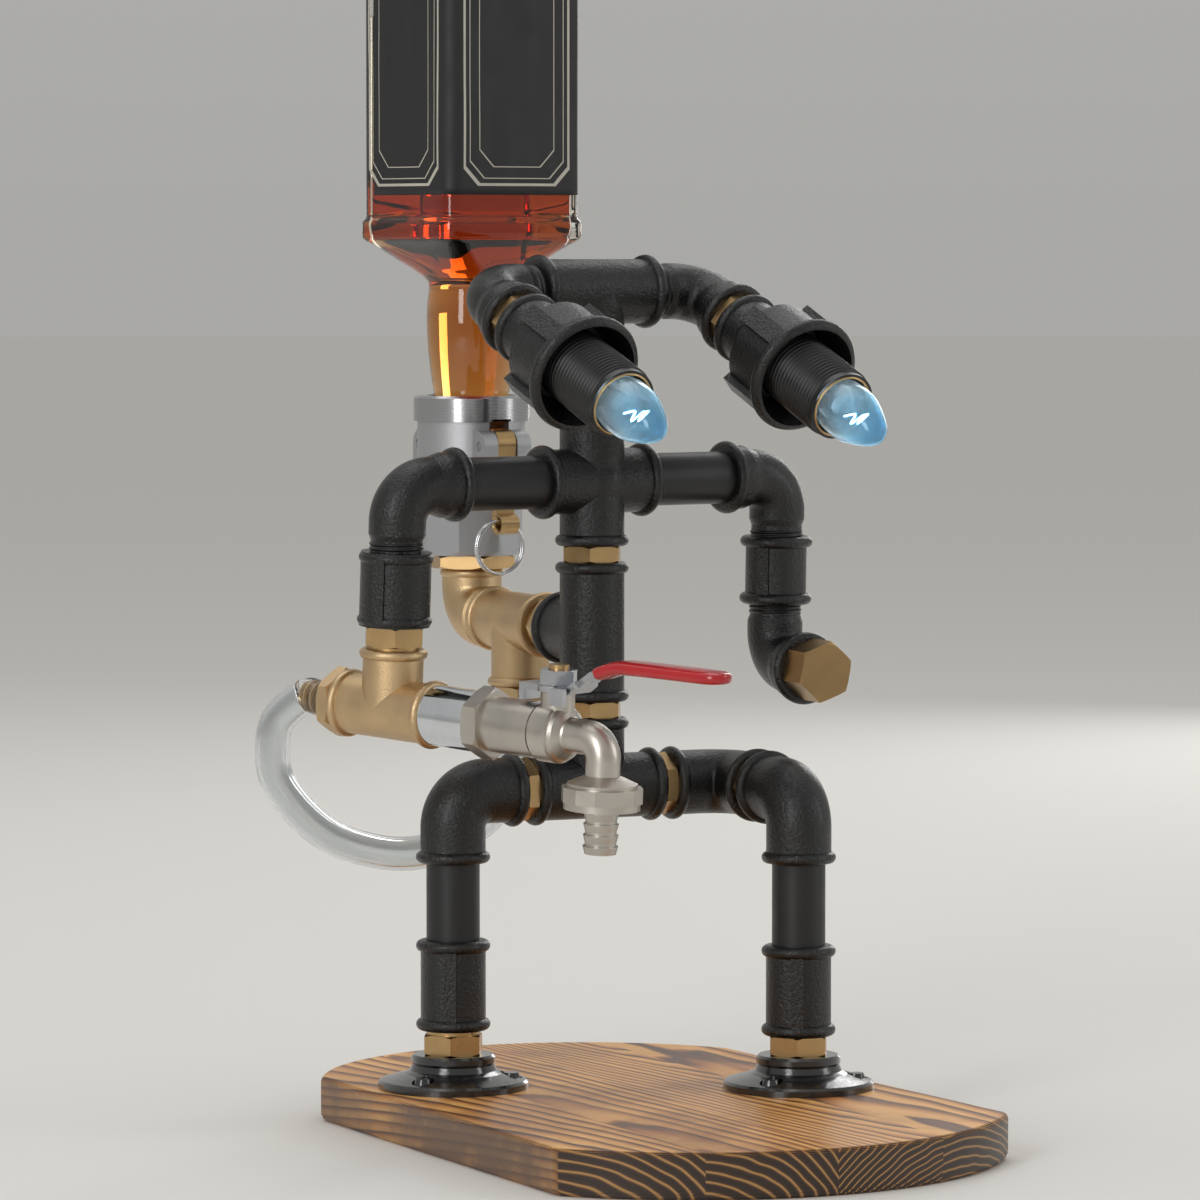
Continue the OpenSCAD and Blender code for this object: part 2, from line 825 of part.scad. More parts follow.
module left_brow_elbow() {
  color(black) at_torso() translate([-eye_x, 0, head_z])
    rotate([left_eye_dip - 90, 0, 0]) rotate([0, 90, 0]) street_elbow(brow_reach);
}

module right_brow_elbow() {
  color(black) at_torso() translate([eye_x, 0, head_z])
    rotate([90 + right_eye_dip, 0, 0]) rotate([0, -90, 0]) street_elbow(brow_reach);
}

module eye_nipples() {
  color(brass) for (side = [-1, 1]) {
    at_eye(side) translate([0, 0, iron_reach]) nipple(eye_space);
  }
}

module eye_cup(side) {
  at_eye(side) translate([0, 0, iron_reach + eye_space]) difference() {
    union() {
      translate([0, 0, iron_bead_w / 2]) bead(iron_bead_d, iron_bead_w);
      cylinder(d = iron_body_d + 0.6, h = 14);
      translate([0, 0, 13]) cylinder(d1 = iron_body_d + 0.6, d2 = cup_d, h = 9);
      translate([0, 0, 22]) cylinder(d = cup_d, h = cup_length - cup_bead_w / 2 - 22);
      translate([0, 0, cup_length - cup_bead_w / 2]) bead(cup_bead_d, cup_bead_w);
      for (turn = [45 : 90 : 315]) {
        rotate([0, 0, turn]) translate([0, -4, 20])
          cube([cup_bead_d / 2 - 1.6, 8, cup_length - 20 - cup_bead_w / 2]);
      }
    }
    translate([0, 0, -1]) cylinder(d = mouth_d, h = mouth_depth + 1);
    cylinder(d = iron_bore_d, h = cup_length);
    translate([0, 0, cup_length - cup_depth]) cylinder(d = cup_bore_d, h = cup_depth + 1);
    translate([0, 0, cup_length - cup_flare])
      cylinder(d1 = cup_bore_d, d2 = cup_rim_d, h = cup_flare + 0.01);
  }
}

module left_eye_cup() {
  color(black) eye_cup(-1);
}

module right_eye_cup() {
  color(black) eye_cup(1);
}

module lamp_holder() {
  difference() {
    union() {
      cylinder(d = holder_lamp_d - 1, h = holder_lamp_length);
      translate([0, 0, 3]) cylinder(d = holder_lamp_d, h = holder_lamp_length - 8);
      translate([0, 0, holder_lamp_length - 4]) cylinder(d = holder_lamp_d, h = 4);
    }
    translate([0, 0, 8]) cylinder(d = bulb_cap_d + 1, h = holder_lamp_length);
    translate([0, 0, holder_lamp_length - 12]) cylinder(d = bulb_d + 1.4, h = 13);
  }
}

module lamp_holders() {
  color(black) for (side = [-1, 1]) {
    at_lamp(side) lamp_holder();
  }
}

module bulb_outline(inset) {
  top = holder_lamp_length + bulb_show - inset;
  r = bulb_d / 2 - inset;
  neck = bulb_cap_d / 2 - 0.6 - inset;
  polygon([
    [0, holder_lamp_length - 13],
    [neck, holder_lamp_length - 13],
    [neck, holder_lamp_length - 11],
    [r - 1.8, holder_lamp_length - 6],
    [r - 0.4, holder_lamp_length - 2],
    [r, holder_lamp_length + 3],
    [r - 0.3, holder_lamp_length + 9],
    [r - 1.4, top - 15],
    [r - 3.4, top - 9],
    [r - 5.2, top - 5],
    [r - 7, top - 2.2],
    [r - 8.8, top - 0.6],
    [0, top]]);
}

module bulb(side) {
  at_lamp(side) rotate_extrude() difference() {
    bulb_outline(0);
    bulb_outline(bulb_wall);
    square([bulb_cap_d / 2 - 0.6 - bulb_wall, holder_lamp_length - 11]);
  }
}

module left_bulb() {
  color([0.8, 0.9, 0.95, 0.4]) bulb(-1);
}

module right_bulb() {
  color([0.8, 0.9, 0.95, 0.4]) bulb(1);
}

module bulb_base(side) {
  cap_top = holder_lamp_length - 13;
  at_lamp(side) {
    translate([0, 0, 8.3]) cylinder(d = bulb_cap_d - 4, h = 2.7);
    translate([0, 0, 11]) cylinder(d = bulb_cap_d, h = cap_top - 11);
    translate([0, 0, cap_top]) cylinder(d1 = 8, d2 = 5, h = 10);
  }
}

module left_bulb_base() {
  color(steel) bulb_base(-1);
}

module right_bulb_base() {
  color(steel) bulb_base(1);
}

module shoulder_pipes() {
  color(black) at_torso() translate([0, 0, shoulder_z]) {
    translate([cross_reach, 0, 0]) to_x() pipe(shoulder_pipe_show);
    translate([-cross_reach, 0, 0]) rotate([0, -90, 0]) pipe(shoulder_pipe_show);
  }
}

module left_shoulder_elbow() {
  color(black) at_arm(-1) rotate([180, 0, 0]) street_elbow(street_reach);
}

module right_shoulder_elbow() {
  color(black) at_arm(1) rotate([0, 180, 0]) street_elbow(free_reach);
}

module arm_sockets() {
  color(black) {
    at_arm(-1) translate([0, 0, -street_reach - arm_socket_length]) rotate([0, 0, 30])
      socket(arm_socket_length, thick_socket_d);
    at_arm(1) translate([0, 0, -free_reach - free_socket_length]) rotate([0, 0, 30])
      socket(free_socket_length, iron_body_d - 1);
  }
}

module hand_elbow() {
  color(black) at_arm(1) translate([0, 0, -hand_drop])
    rotate([0, 0, -90 - hand_turn]) street_elbow(free_reach);
}

module hand_plug() {
  color(brass) at_arm(1) translate([0, 0, -hand_drop]) rotate([90, 0, -hand_turn]) {
    translate([0, 0, iron_reach - thread_in]) cylinder(d = thread_d, h = thread_in);
    translate([0, 0, iron_reach]) rotate([0, 0, 20]) hexagon(plug_flats, plug_head);
  }
}

module wrist_nipple() {
  color(brass) at_arm(-1) translate([0, 0, -street_reach - arm_socket_length])
    rotate([180, 0, 0]) nipple(wrist_space);
}

module arm_tee() {
  color(brass) at_tap() brass_tee(brass_reach);
}

module hose_tail() {
  barb = tail_length / 4.4;
  difference() {
    union() {
      translate([0, 0, -thread_in]) cylinder(d = thread_d, h = thread_in);
      hexagon(tail_flats, tail_hex);
      cylinder(d = tail_barb_d - 1.6, h = tail_hex + tail_length);
      for (step = [0 : 3]) {
        translate([0, 0, tail_hex + 1.5 + step * barb]) {
          cylinder(d = tail_barb_d, h = 1);
          translate([0, 0, 1]) cylinder(d1 = tail_barb_d, d2 = tail_barb_d - 1.6, h = barb - 1.6);
        }
      }
    }
    translate([0, 0, -thread_in - 1]) cylinder(d = tail_bore_d, h = tail_length + tail_hex + thread_in + 2);
  }
}

module hose_tails() {
  color(brass) {
    at_tap() translate([-brass_reach, 0, 0]) rotate([0, -90, 0]) hose_tail();
    at_hips() translate([0, back_tee_y, spine_z - back_reach]) rotate([180, 0, 0]) hose_tail();
  }
}

module tap_extension() {
  color(steel) at_tap() translate([brass_reach, 0, 0]) to_x() difference() {
    union() {
      cylinder(d = extension_d, h = extension_show);
      translate([0, 0, -thread_in]) cylinder(d = thread_d, h = thread_in);
    }
    translate([0, 0, -thread_in - 1]) cylinder(d = nipple_bore_d, h = extension_show + thread_in);
    translate([0, 0, extension_show - mouth_depth]) cylinder(d = mouth_d, h = mouth_depth + 1);
  }
}

module tap_inlet() {
  color(nickel) at_tap() translate([inlet_x, 0, 0]) to_x() difference() {
    union() {
      translate([0, 0, -thread_in]) cylinder(d = thread_d, h = thread_in);
      hexagon(tap_flats, tap_hex);
      translate([0, 0, tap_hex]) cylinder(d = barrel_d, h = barrel_length - 0.8);
      translate([0, 0, tap_hex]) cylinder(d = barrel_d - 1.6, h = barrel_length);
    }
    translate([0, 0, -thread_in - 1])
      cylinder(d = ball_bore_d + 0.6, h = tap_hex + barrel_length + thread_in + 2);
  }
}

module tap_body() {
  color(nickel) at_tap() difference() {
    union() {
      translate([housing_x, 0, 0]) to_x() rotate_extrude() polygon([
        [0, 0],
        [housing_d / 2 - 0.6, 0],
        [housing_d / 2, 0.6],
        [housing_d / 2, housing_length - 3.4],
        [housing_d / 2 - 0.8, housing_length - 2.8],
        [housing_d / 2 - 0.8, housing_length - 2],
        [housing_d / 2 - 1.6, housing_length - 0.6],
        [housing_d / 2 - 3, housing_length + 0.6],
        [spout_d / 2 + 0.4, housing_length + 1.6],
        [spout_d / 2, housing_length + 2.4],
        [0, housing_length + 2.4]]);
      translate([housing_end, 0, 0]) to_x() cylinder(d = spout_d, h = spout_out - spout_bend_r);
      translate([spout_x, 0, 0]) rotate([180, 0, 180]) bend(spout_bend_r, spout_d);
      translate([spout_x, 0, union_z]) cylinder(d = spout_d, h = -union_z - spout_bend_r);
      translate([spout_x, 0, -spout_drop]) cylinder(d1 = union_d - 3.4, d2 = spout_d, h = 3);
      translate([spout_x, 0, union_z]) cylinder(d = union_d - 3.4, h = 1.4);
      translate([spout_x, 0, union_z - union_grip]) cylinder(d = union_d - 9, h = union_grip);
      translate([ball_x, 0, 0]) cylinder(d = boss_d, h = boss_top);
    }
    translate([housing_x - 1, 0, 0]) to_x() cylinder(d = ball_d + 4.2, h = housing_length + 0.4);
    translate([housing_x, 0, 0]) to_x()
      cylinder(d = spout_bore_d, h = housing_length + spout_out - spout_bend_r);
    translate([spout_x, 0, 0]) rotate([180, 0, 180]) bend(spout_bend_r, spout_bore_d);
    translate([spout_x, 0, union_z - union_grip - 1])
      cylinder(d = spout_bore_d, h = union_grip + 1 - union_z - spout_bend_r);
    translate([ball_x, 0, 0]) cylinder(d = stem_d + 2 * stem_gap, h = boss_top + 1);
  }
}

module tap_seats() {
  color([0.93, 0.93, 0.9]) at_tap() difference() {
    union() {
      translate([housing_x, 0, 0]) to_x() tube(ball_d + 4, ball_bore_d, 3.4);
      translate([housing_end - 0.6 - 3.4, 0, 0]) to_x() tube(ball_d + 4, ball_bore_d, 3.4);
    }
    translate([ball_x, 0, 0]) sphere(d = ball_d + 0.16);
    translate([ball_x, 0, 0]) cylinder(d = stem_d + 0.7, h = ball_d);
  }
}

module tap_ball() {
  color(steel) at_stem() difference() {
    sphere(d = ball_d);
    translate([-ball_d, 0, 0]) to_x() cylinder(d = ball_bore_d, h = 2 * ball_d);
    translate([-ball_d, -1.6, ball_d / 2 - 2]) cube([2 * ball_d, 3.2, 4]);
  }
}

module tap_stem() {
  color(brass) at_stem() {
    translate([0, 0, ball_d / 2 + 0.2])
      cylinder(d = stem_d, h = plate_z + lever_thick + lever_nut_h + 2 - ball_d / 2 - 0.2);
    translate([-stem_d / 2 + 1, -1.5, ball_d / 2 - 1.8]) cube([stem_d - 2, 3, 2.4]);
  }
}

module lever_strip(play) {
  foot = plate_z - play;
  top = plate_z + lever_thick + play;
  rise = lever_rise;
  polygon([
    [-lever_stop, foot - lever_stop_leg],
    [-lever_stop, top],
    [9.5, top],
    [19, top + rise * 0.62],
    [32, top + rise],
    [lever_length - 9, top + rise + 0.5],
    [lever_length - 9, foot + rise + 0.5],
    [32.6, foot + rise],
    [19.8, foot + rise * 0.62],
    [10.3, foot],
    [-lever_stop + lever_thick, foot],
    [-lever_stop + lever_thick, foot - lever_stop_leg]]);
}

module strip_block(width) {
  rotate([90, 0, 0]) linear_extrude(height = width, center = true) children();
}

module tap_lever() {
  color(steel) at_stem() difference() {
    union() {
      intersection() {
        strip_block(lever_width) lever_strip(0);
        linear_extrude(height = 100, center = true) union() {
          circle(d = lever_width);
          translate([-lever_stop, -lever_width / 2 + 3]) square([lever_stop, lever_width - 6]);
          translate([0, -lever_width / 2 + 1]) square([14, lever_width - 2]);
          translate([0, -lever_neck / 2]) square([lever_length, lever_neck]);
        }
      }
      translate([4, -lever_width / 2 - lever_thick, plate_z - lever_stop_leg])
        cube([7, lever_thick, lever_stop_leg + lever_thick]);
      translate([4, -lever_width / 2 - 0.1, plate_z]) cube([5.4, 3, lever_thick]);
    }
    cylinder(d = stem_d + 0.1, h = 60);
  }
}

module lever_grip() {
  half = grip_thick / 2;
  mid = plate_z + lever_thick / 2;
  end = lever_length;
  rise = lever_rise;
  color([0.7, 0.08, 0.1]) at_stem() difference() {
    intersection() {
      strip_block(grip_width) polygon([
          [18.4, mid + rise * 0.6 + half],
          [31, mid + rise + half],
          [end - half, mid + rise + 0.6 + half],
          [end - half * 0.4, mid + rise + 0.6 + half * 0.8],
          [end, mid + rise + 0.6 + half * 0.3],
          [end, mid + rise + 0.6 - half * 0.3],
          [end - half * 0.4, mid + rise + 0.6 - half * 0.8],
          [end - half, mid + rise + 0.6 - half],
          [33, mid + rise - half],
          [20.6, mid + rise * 0.6 - half]]);
      linear_extrude(height = 100) union() {
        translate([17, -grip_width / 2]) square([end - 17 - grip_width / 2, grip_width]);
        translate([end - grip_width / 2, 0]) circle(d = grip_width + 0.2);
      }
    }
    strip_block(lever_neck + 0.1) lever_strip(0.05);
  }
}

module lever_nut() {
  color(steel) at_stem() translate([0, 0, plate_z + lever_thick]) difference() {
    hexagon(lever_nut_flats, lever_nut_h);
    translate([0, 0, -1]) cylinder(d = stem_d + 0.1, h = lever_nut_h + 2);
  }
}

module spout_nut() {
  low = union_z - union_grip - union_ring;
  color(nickel) at_tap() translate([spout_x, 0, 0]) difference() {
    union() {
      translate([0, 0, union_z - union_grip]) cylinder(d = union_d / cos(15), h = union_grip, $fn = 12);
      translate([0, 0, low]) cylinder(d = union_d - 1, h = union_ring);
    }
    translate([0, 0, union_z - union_grip - 1.6]) cylinder(d = union_d - 9 + 0.2, h = union_grip + 3);
    translate([0, 0, low - 1]) cylinder(d = nozzle_d - 1.4 + 0.2, h = 10);
  }
}

module spout_tail() {
  top = union_z - union_grip;
  low = top - union_ring;
  rib = nozzle_length / 4;
  color(nickel) at_tap() translate([spout_x, 0, 0]) difference() {
    union() {
      translate([0, 0, top - 1.6]) cylinder(d = union_d - 9, h = 1.6);
      translate([0, 0, low - nozzle_length]) cylinder(d = nozzle_d - 1.4, h = nozzle_length + union_ring);
      for (step = [0 : 3]) {
        translate([0, 0, low - nozzle_length + step * rib])
          cylinder(d1 = nozzle_d - 1.4, d2 = nozzle_d, h = rib * 0.62);
        translate([0, 0, low - nozzle_length + (step + 0.62) * rib]) cylinder(d = nozzle_d, h = 0.5);
      }
    }
    translate([0, 0, low - nozzle_length - 1])
      cylinder(d = nozzle_bore_d, h = nozzle_length + union_ring + 3);
  }
}

module back_tee() {
  color(brass) at_hips() translate([0, back_tee_y, spine_z])
    rotate([0, 0, 90]) rotate([180, 0, 0]) brass_tee(back_reach);
}

module back_elbow() {
  color(brass) at_back(spine_z) rotate([0, -90, 0]) rotate([90, 0, 0]) brass_elbow();
}

module bottle_bush() {
  color(brass) at_back(bush_z) rotate([0, 0, 20]) difference() {
    union() {
      translate([0, 0, 1 - bush_in]) cylinder(d = thread_d, h = bush_in);
      hexagon(bush_flats, bush_hex);
      translate([0, 0, bush_hex]) cylinder(d = bush_thread_d, h = bush_thread_in);
    }
    translate([0, 0, -bush_in]) cylinder(d = nipple_bore_d, h = bush_in + bush_hex + bush_thread_in + 1);
  }
}

module ear(side) {
  span = cam_cut + 2 * ear_thick;
  rotate([0, 0, side < 0 ? 0 : 180]) translate([-span / 2, 0, 0]) {
    translate([0, ear_r - pin_out - ear_out, pin_height]) to_x() cylinder(r = ear_r, h = span);
    translate([0, -pin_out - ear_out, pin_height - 12]) cube([span, pin_out, 12]);
    translate([0, ear_r - pin_out - ear_out, pin_height - 2]) cube([span, pin_out - ear_r, 2 + ear_r]);
  }
}

module bottle_holder() {
  color([0.72, 0.72, 0.72]) at_holder() difference() {
    union() {
      intersection() {
        cylinder(d = holder_flats / cos(22.5), h = holder_octagon, $fn = 8);
        cylinder(d1 = holder_flats - 1, d2 = holder_flats + 2 * holder_octagon, h = holder_octagon);
      }
      translate([0, 0, holder_octagon]) cylinder(d1 = holder_flats, d2 = holder_body_d, h = 5);
      translate([0, 0, holder_octagon + 5])
        cylinder(d = holder_body_d, h = holder_height - holder_octagon - 5 - holder_band_h);
      translate([0, 0, holder_height - holder_band_h]) cylinder(d = holder_band_d, h = holder_band_h - 1);
      translate([0, 0, holder_height - 1]) cylinder(d1 = holder_band_d, d2 = holder_band_d - 2, h = 1);
      ear(-1);
      ear(1);
    }
    translate([0, 0, holder_floor]) cylinder(d = holder_bore_d, h = holder_height);
    translate([0, 0, -1]) cylinder(d = 18, h = holder_height);
    translate([0, 0, -1]) cylinder(d = bush_thread_d + 0.2, h = bush_thread_in + 2);
    for (side = [-1, 1]) {
      rotate([0, 0, side < 0 ? 0 : 180]) {
        translate([-cam_cut / 2, -pin_out - 12, pin_height - 14]) cube([cam_cut, pin_out + 0, 25]);
        translate([-40, -pin_out, pin_height]) to_x() cylinder(d = pin_d + 0.1, h = 80);
      }
    }
  }
}

module holder_seal() {
  color([0.06, 0.06, 0.06]) at_holder() translate([0, 0, holder_floor])
    tube(holder_bore_d - 0.2, bottle_bore_d + 1, seal_thick);
}

module cam_outline() {
  inner = -(pin_out - holder_body_d / 2) + 0.6;
  eye = inner + cam_eye_d / 2;
  union() {
    translate([-2.6, 0.6]) circle(r = cam_r);
    translate([inner, -cam_length]) square([cam_arm, cam_length]);
    polygon([
      [inner, -10],
      [inner + cam_arm, -10],
      [cam_r - 2.6, 0],
      [-2, 0]]);
    translate([eye, -cam_length]) circle(d = cam_eye_d);
  }
}

module cam_lever(side) {
  eye = -(pin_out - holder_body_d / 2) + 0.6 + cam_eye_d / 2;
  at_cam(side) difference() {
    rotate([90, 0, -90]) linear_extrude(height = cam_width, center = true) cam_outline();
    translate([-20, 0, 0]) to_x() cylinder(d = pin_d + 2 * pin_gap, h = 40);
    translate([-20, -eye, -cam_length]) to_x() cylinder(d = cam_hole_d, h = 40);
    for (end = [0, 180]) {
      translate([0, -eye, -cam_length]) rotate([0, 0, end]) translate([cam_width / 2 - cam_chamfer, 0, 0])
        to_x() cylinder(d1 = cam_hole_d, d2 = cam_hole_d + 4 * cam_chamfer, h = 2 * cam_chamfer);
    }
  }
}

module front_cam_lever() {
  color(brass) cam_lever(-1);
}

module rear_cam_lever() {
  color(brass) cam_lever(1);
}

module cam_pins() {
  span = cam_cut + 2 * ear_thick - 0.6;
  color(steel) for (side = [-1, 1]) {
    at_cam(side) translate([-span / 2, 0, 0]) to_x() cylinder(d = pin_d, h = span);
  }
}

module pull_ring(side) {
  eye = -(pin_out - holder_body_d / 2) + 0.6 + cam_eye_d / 2;
  shift = ring_r * sin(ring_lean);
  near = sqrt(pow(ring_r, 2) - pow(cam_width / 2 - shift, 2));
  far = sqrt(pow(ring_r, 2) - pow(cam_width / 2 + shift, 2));
  at_cam(side) translate([-shift, -eye, -cam_length - (near + far) / 2]) rotate([90, 0, 0]) {
    for (coil = [-1, 1]) {
      translate([0, 0, coil * ring_wire * 0.45])
        rotate_extrude() translate([ring_r, 0]) circle(d = ring_wire);
    }
  }
}

module front_pull_ring() {
  color(steel) pull_ring(-1);
}

module rear_pull_ring() {
  color(steel) pull_ring(1);
}

module square_outline(half, cut) {
  polygon([
    [half, half - cut],
    [half - cut, half],
    [cut - half, half],
    [-half, half - cut],
    [-half, cut - half],
    [cut - half, -half],
    [half - cut, -half],
    [half, cut - half]]);
}

module bottle_shell(inset, lift, end) {
  half = bottle_side / 2 - inset;
  ridge = bottle_neck + bottle_slope + lift;
  hull() {
    translate([0, 0, bottle_neck + lift]) cylinder(d = bottle_neck_d - 2 * inset, h = 0.01);
    translate([0, 0, ridge]) linear_extrude(height = 0.5) square_outline(half, bottle_corner);
  }
  translate([0, 0, ridge]) linear_extrude(height = end - ridge) square_outline(half, bottle_corner);
}

module neck_bore() {
  r = bottle_bore_d / 2;
  wide = bottle_neck_d / 2 - bottle_wall;
  polygon([
    [0, -1],
    [r, -1],
    [r, bottle_slim_h + bottle_wall],
    [wide - 0.6, bottle_swell_h - 2 * bottle_wall],
    [wide - 0.4, bottle_neck + 2.5],
    [0, bottle_neck + 2.5]]);
}

module neck_outline() {
  r = bottle_mouth_d / 2;
  slim = r + 1.2;
  wide = bottle_neck_d / 2;
  full = wide + bottle_swell;
  waist = bottle_neck - bottle_swell_h;
  polygon([
    [0, 0],
    [r - 0.6, 0],
    [r, 0.8],
    [r, bottle_band_h],
    [r + 0.6, bottle_band_h + 2],
    for (t = [0 : 0.2 : 1])
      [slim + (full - slim) * sin(90 * t), bottle_slim_h + (bottle_swell_h - bottle_slim_h) * t],
    [wide + 0.2, bottle_swell_h + waist * 0.45],
    [wide - 0.7, bottle_swell_h + waist * 0.75],
    [wide - 0.9, bottle_swell_h + waist * 0.9],
    [wide, bottle_neck + 0.2],
    [0, bottle_neck + 0.2]]);
}

module bottle() {
  ridge = bottle_neck + bottle_slope;
  end = ridge + bottle_ridge_h + bottle_body;
  half = bottle_side / 2 + bottle_ridge;
  color([0.62, 0.38, 0.12, 0.6]) at_back(holder_z + mouth_z) rotate([0, 0, bottle_turn]) difference() {
    union() {
      rotate_extrude() neck_outline();
      bottle_shell(0, 0, end);
      translate([0, 0, ridge])
        linear_extrude(height = bottle_ridge_h) square_outline(half, bottle_corner + 0.6);
    }
    rotate_extrude() neck_bore();
    bottle_shell(bottle_wall, 1.5, end - bottle_bottom);
  }
}

function turn_x(v, a) = [v[0], v[1] * cos(a) - v[2] * sin(a), v[1] * sin(a) + v[2] * cos(a)];
function turn_z(v, a) = [v[0] * cos(a) - v[1] * sin(a), v[0] * sin(a) + v[1] * cos(a), v[2]];
function in_arm(v) = turn_x([0, 0, -arm_drop] + turn_z(v, tap_heading - 90), arm_swing);
function from_arm(v) =
  turn_z([-shoulder_step, 0, shoulder_z] + in_arm(v), torso_twist) + [0, spine_y, 0];
hose_start = from_arm([-brass_reach - tail_hex - 0.1, 0, 0]);
hose_leave = from_arm([-brass_reach - tail_hex - tail_length - 1, 0, 0]);
hose_end = [0, spine_y + back_tee_y, spine_z - back_reach - tail_hex - 0.1];
hose_arrive = hose_end - [0, 0, tail_length + 1];
hose_route = concat(
  [hose_start, (hose_start + hose_leave) / 2, hose_leave],
  [[-118, 94, 164], [-119, 98, 152], [-116, 101, 140], [-107, 103, 128], [-94, 105, 117], [-79, 107, 110], [-60, 109, 106],
    [-42, 111, 107], [-24, 114, 114], [-9, 117, 126]],
  [hose_arrive, (hose_arrive + hose_end) / 2, hose_end]);

function curve(a, b, c, d, t) = 0.5 * (2 * b + (c - a) * t + (2 * a - 5 * b + 4 * c - d) * t * t
  + (3 * b - a - 3 * c + d) * t * t * t);
function unit(v) = v / norm(v);
hose_last = len(hose_route) - 1;
hose_steps = 3;
hose_path = [for (i = [0 : hose_last - 1], s = [0 : hose_steps - 1])
    curve(
      hose_route[max(i - 1, 0)], hose_route[i], hose_route[i + 1],
      hose_route[min(i + 2, hose_last)], s / hose_steps
    ),
  hose_route[hose_last]];
hose_rings = len(hose_path);
hose_way = [for (i = [0 : hose_rings - 1]) i == 0 ? unit(hose_leave - hose_start)
  : i == hose_rings - 1 ? [0, 0, 1] : unit(hose_path[i + 1] - hose_path[i - 1])];
function slide(v, way) = unit(v - way * (v * way));
function carry(i) = i == 0 ? slide([0, 0, 1], hose_way[0]) : slide(carry(i - 1), hose_way[i]);
hose_sides = 12;

module hose_tube(d, more) {
  points = [for (i = [0 : hose_rings - 1]) let (u = carry(i), v = cross(hose_way[i], u))
    for (k = [0 : hose_sides - 1])
      hose_path[i] + (i == 0 ? -more : i == hose_rings - 1 ? more : 0) * hose_way[i]
      + (u * cos(k * 360 / hose_sides) + v * sin(k * 360 / hose_sides)) * d / 2];
  sides = [for (i = [0 : hose_rings - 2], k = [0 : hose_sides - 1]) let (n = (k + 1) % hose_sides)
    each [[i * hose_sides + k, (i + 1) * hose_sides + k, (i + 1) * hose_sides + n],
      [i * hose_sides + k, (i + 1) * hose_sides + n, i * hose_sides + n]]];
  ends = [[for (k = [0 : hose_sides - 1]) k],
    [for (k = [hose_sides - 1 : -1 : 0]) (hose_rings - 1) * hose_sides + k]];
  polyhedron(points = points, faces = concat(sides, ends));
}

module hose() {
  color([0.85, 0.88, 0.9, 0.4]) difference() {
    hose_tube(hose_d, 0);
    hose_tube(hose_bore_d, 1);
  }
}

base_board();
left_floor_flange();
right_floor_flange();
flange_screws();
ankle_nipples();
leg_sockets();
leg_pipes();
left_hip_elbow();
right_hip_elbow();
stride_elbow();
hip_nipples();
hip_tee();
spine_nipples();
spine_tee();
shoulder_cross();
neck_pipe();
head_tee();
left_brow_elbow();
right_brow_elbow();
eye_nipples();
left_eye_cup();
right_eye_cup();
lamp_holders();
left_bulb();
right_bulb();
left_bulb_base();
right_bulb_base();
shoulder_pipes();
left_shoulder_elbow();
right_shoulder_elbow();
arm_sockets();
hand_elbow();
hand_plug();
wrist_nipple();
arm_tee();
hose_tails();
tap_extension();
tap_inlet();
tap_body();
tap_seats();
tap_ball();
tap_stem();
tap_lever();
lever_grip();
lever_nut();
spout_nut();
spout_tail();
back_tee();
back_elbow();
bottle_bush();
bottle_holder();
holder_seal();
front_cam_lever();
rear_cam_lever();
cam_pins();
front_pull_ring();
rear_pull_ring();
bottle();
hose();
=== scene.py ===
import math

import bmesh
import bpy
from mathutils import Matrix, Vector, noise


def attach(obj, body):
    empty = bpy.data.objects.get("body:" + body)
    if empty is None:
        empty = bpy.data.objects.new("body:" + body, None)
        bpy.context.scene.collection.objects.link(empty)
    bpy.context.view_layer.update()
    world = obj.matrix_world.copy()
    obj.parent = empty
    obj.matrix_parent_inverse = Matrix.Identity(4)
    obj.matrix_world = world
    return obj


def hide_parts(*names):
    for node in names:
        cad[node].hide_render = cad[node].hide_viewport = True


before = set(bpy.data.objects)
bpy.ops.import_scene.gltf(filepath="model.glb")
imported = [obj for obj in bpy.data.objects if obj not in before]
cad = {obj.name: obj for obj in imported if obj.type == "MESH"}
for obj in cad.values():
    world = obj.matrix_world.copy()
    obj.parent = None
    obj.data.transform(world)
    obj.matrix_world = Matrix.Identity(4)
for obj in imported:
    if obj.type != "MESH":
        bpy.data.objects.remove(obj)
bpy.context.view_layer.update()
print("frame:", len(cad), "CAD nodes")


def moved(x, y, z):
    return Matrix.Translation((x / 1000, y / 1000, z / 1000))


def turned(axis, degrees):
    return Matrix.Rotation(math.radians(degrees), 4, axis)


def metres(sizes):
    return tuple(size / 1000 for size in sizes)


def perMetre(sizes):
    return tuple(1000 / size for size in sizes)


# where the sub-assemblies sit, in millimetres and degrees, as the CAD has them
figure = {
    "spine": 50, "turn": 8,
    "shoulderReach": 91.5, "shoulderHeight": 258.8, "armSwing": {"left": 3.5, "right": 1.5},
    "browReach": 52.4, "browHeight": 334.6, "eyeLean": {"left": 113, "right": 114.5}, "eyeFoot": 63.5,
    "tapDrop": 88.1, "tapTurn": -74, "stemAlong": 85.5,
    "bottleBack": 165, "bottleFoot": 248.3, "bottleTurn": 9,
}
torsoPlace = moved(0, figure["spine"], 0) @ turned("Z", figure["turn"])
armPlaces = {}
browPlaces = {}
lampPlaces = {}
for side, way in (("left", -1), ("right", 1)):
    shoulderPlace = torsoPlace @ moved(way * figure["shoulderReach"], 0, figure["shoulderHeight"])
    armPlaces[side] = shoulderPlace @ turned("X", figure["armSwing"][side])
    browPlaces[side] = torsoPlace @ moved(way * figure["browReach"], 0, figure["browHeight"])
    eyeTurn = turned("X", figure["eyeLean"][side])
    lampPlaces[side] = browPlaces[side] @ eyeTurn @ moved(0, 0, figure["eyeFoot"])
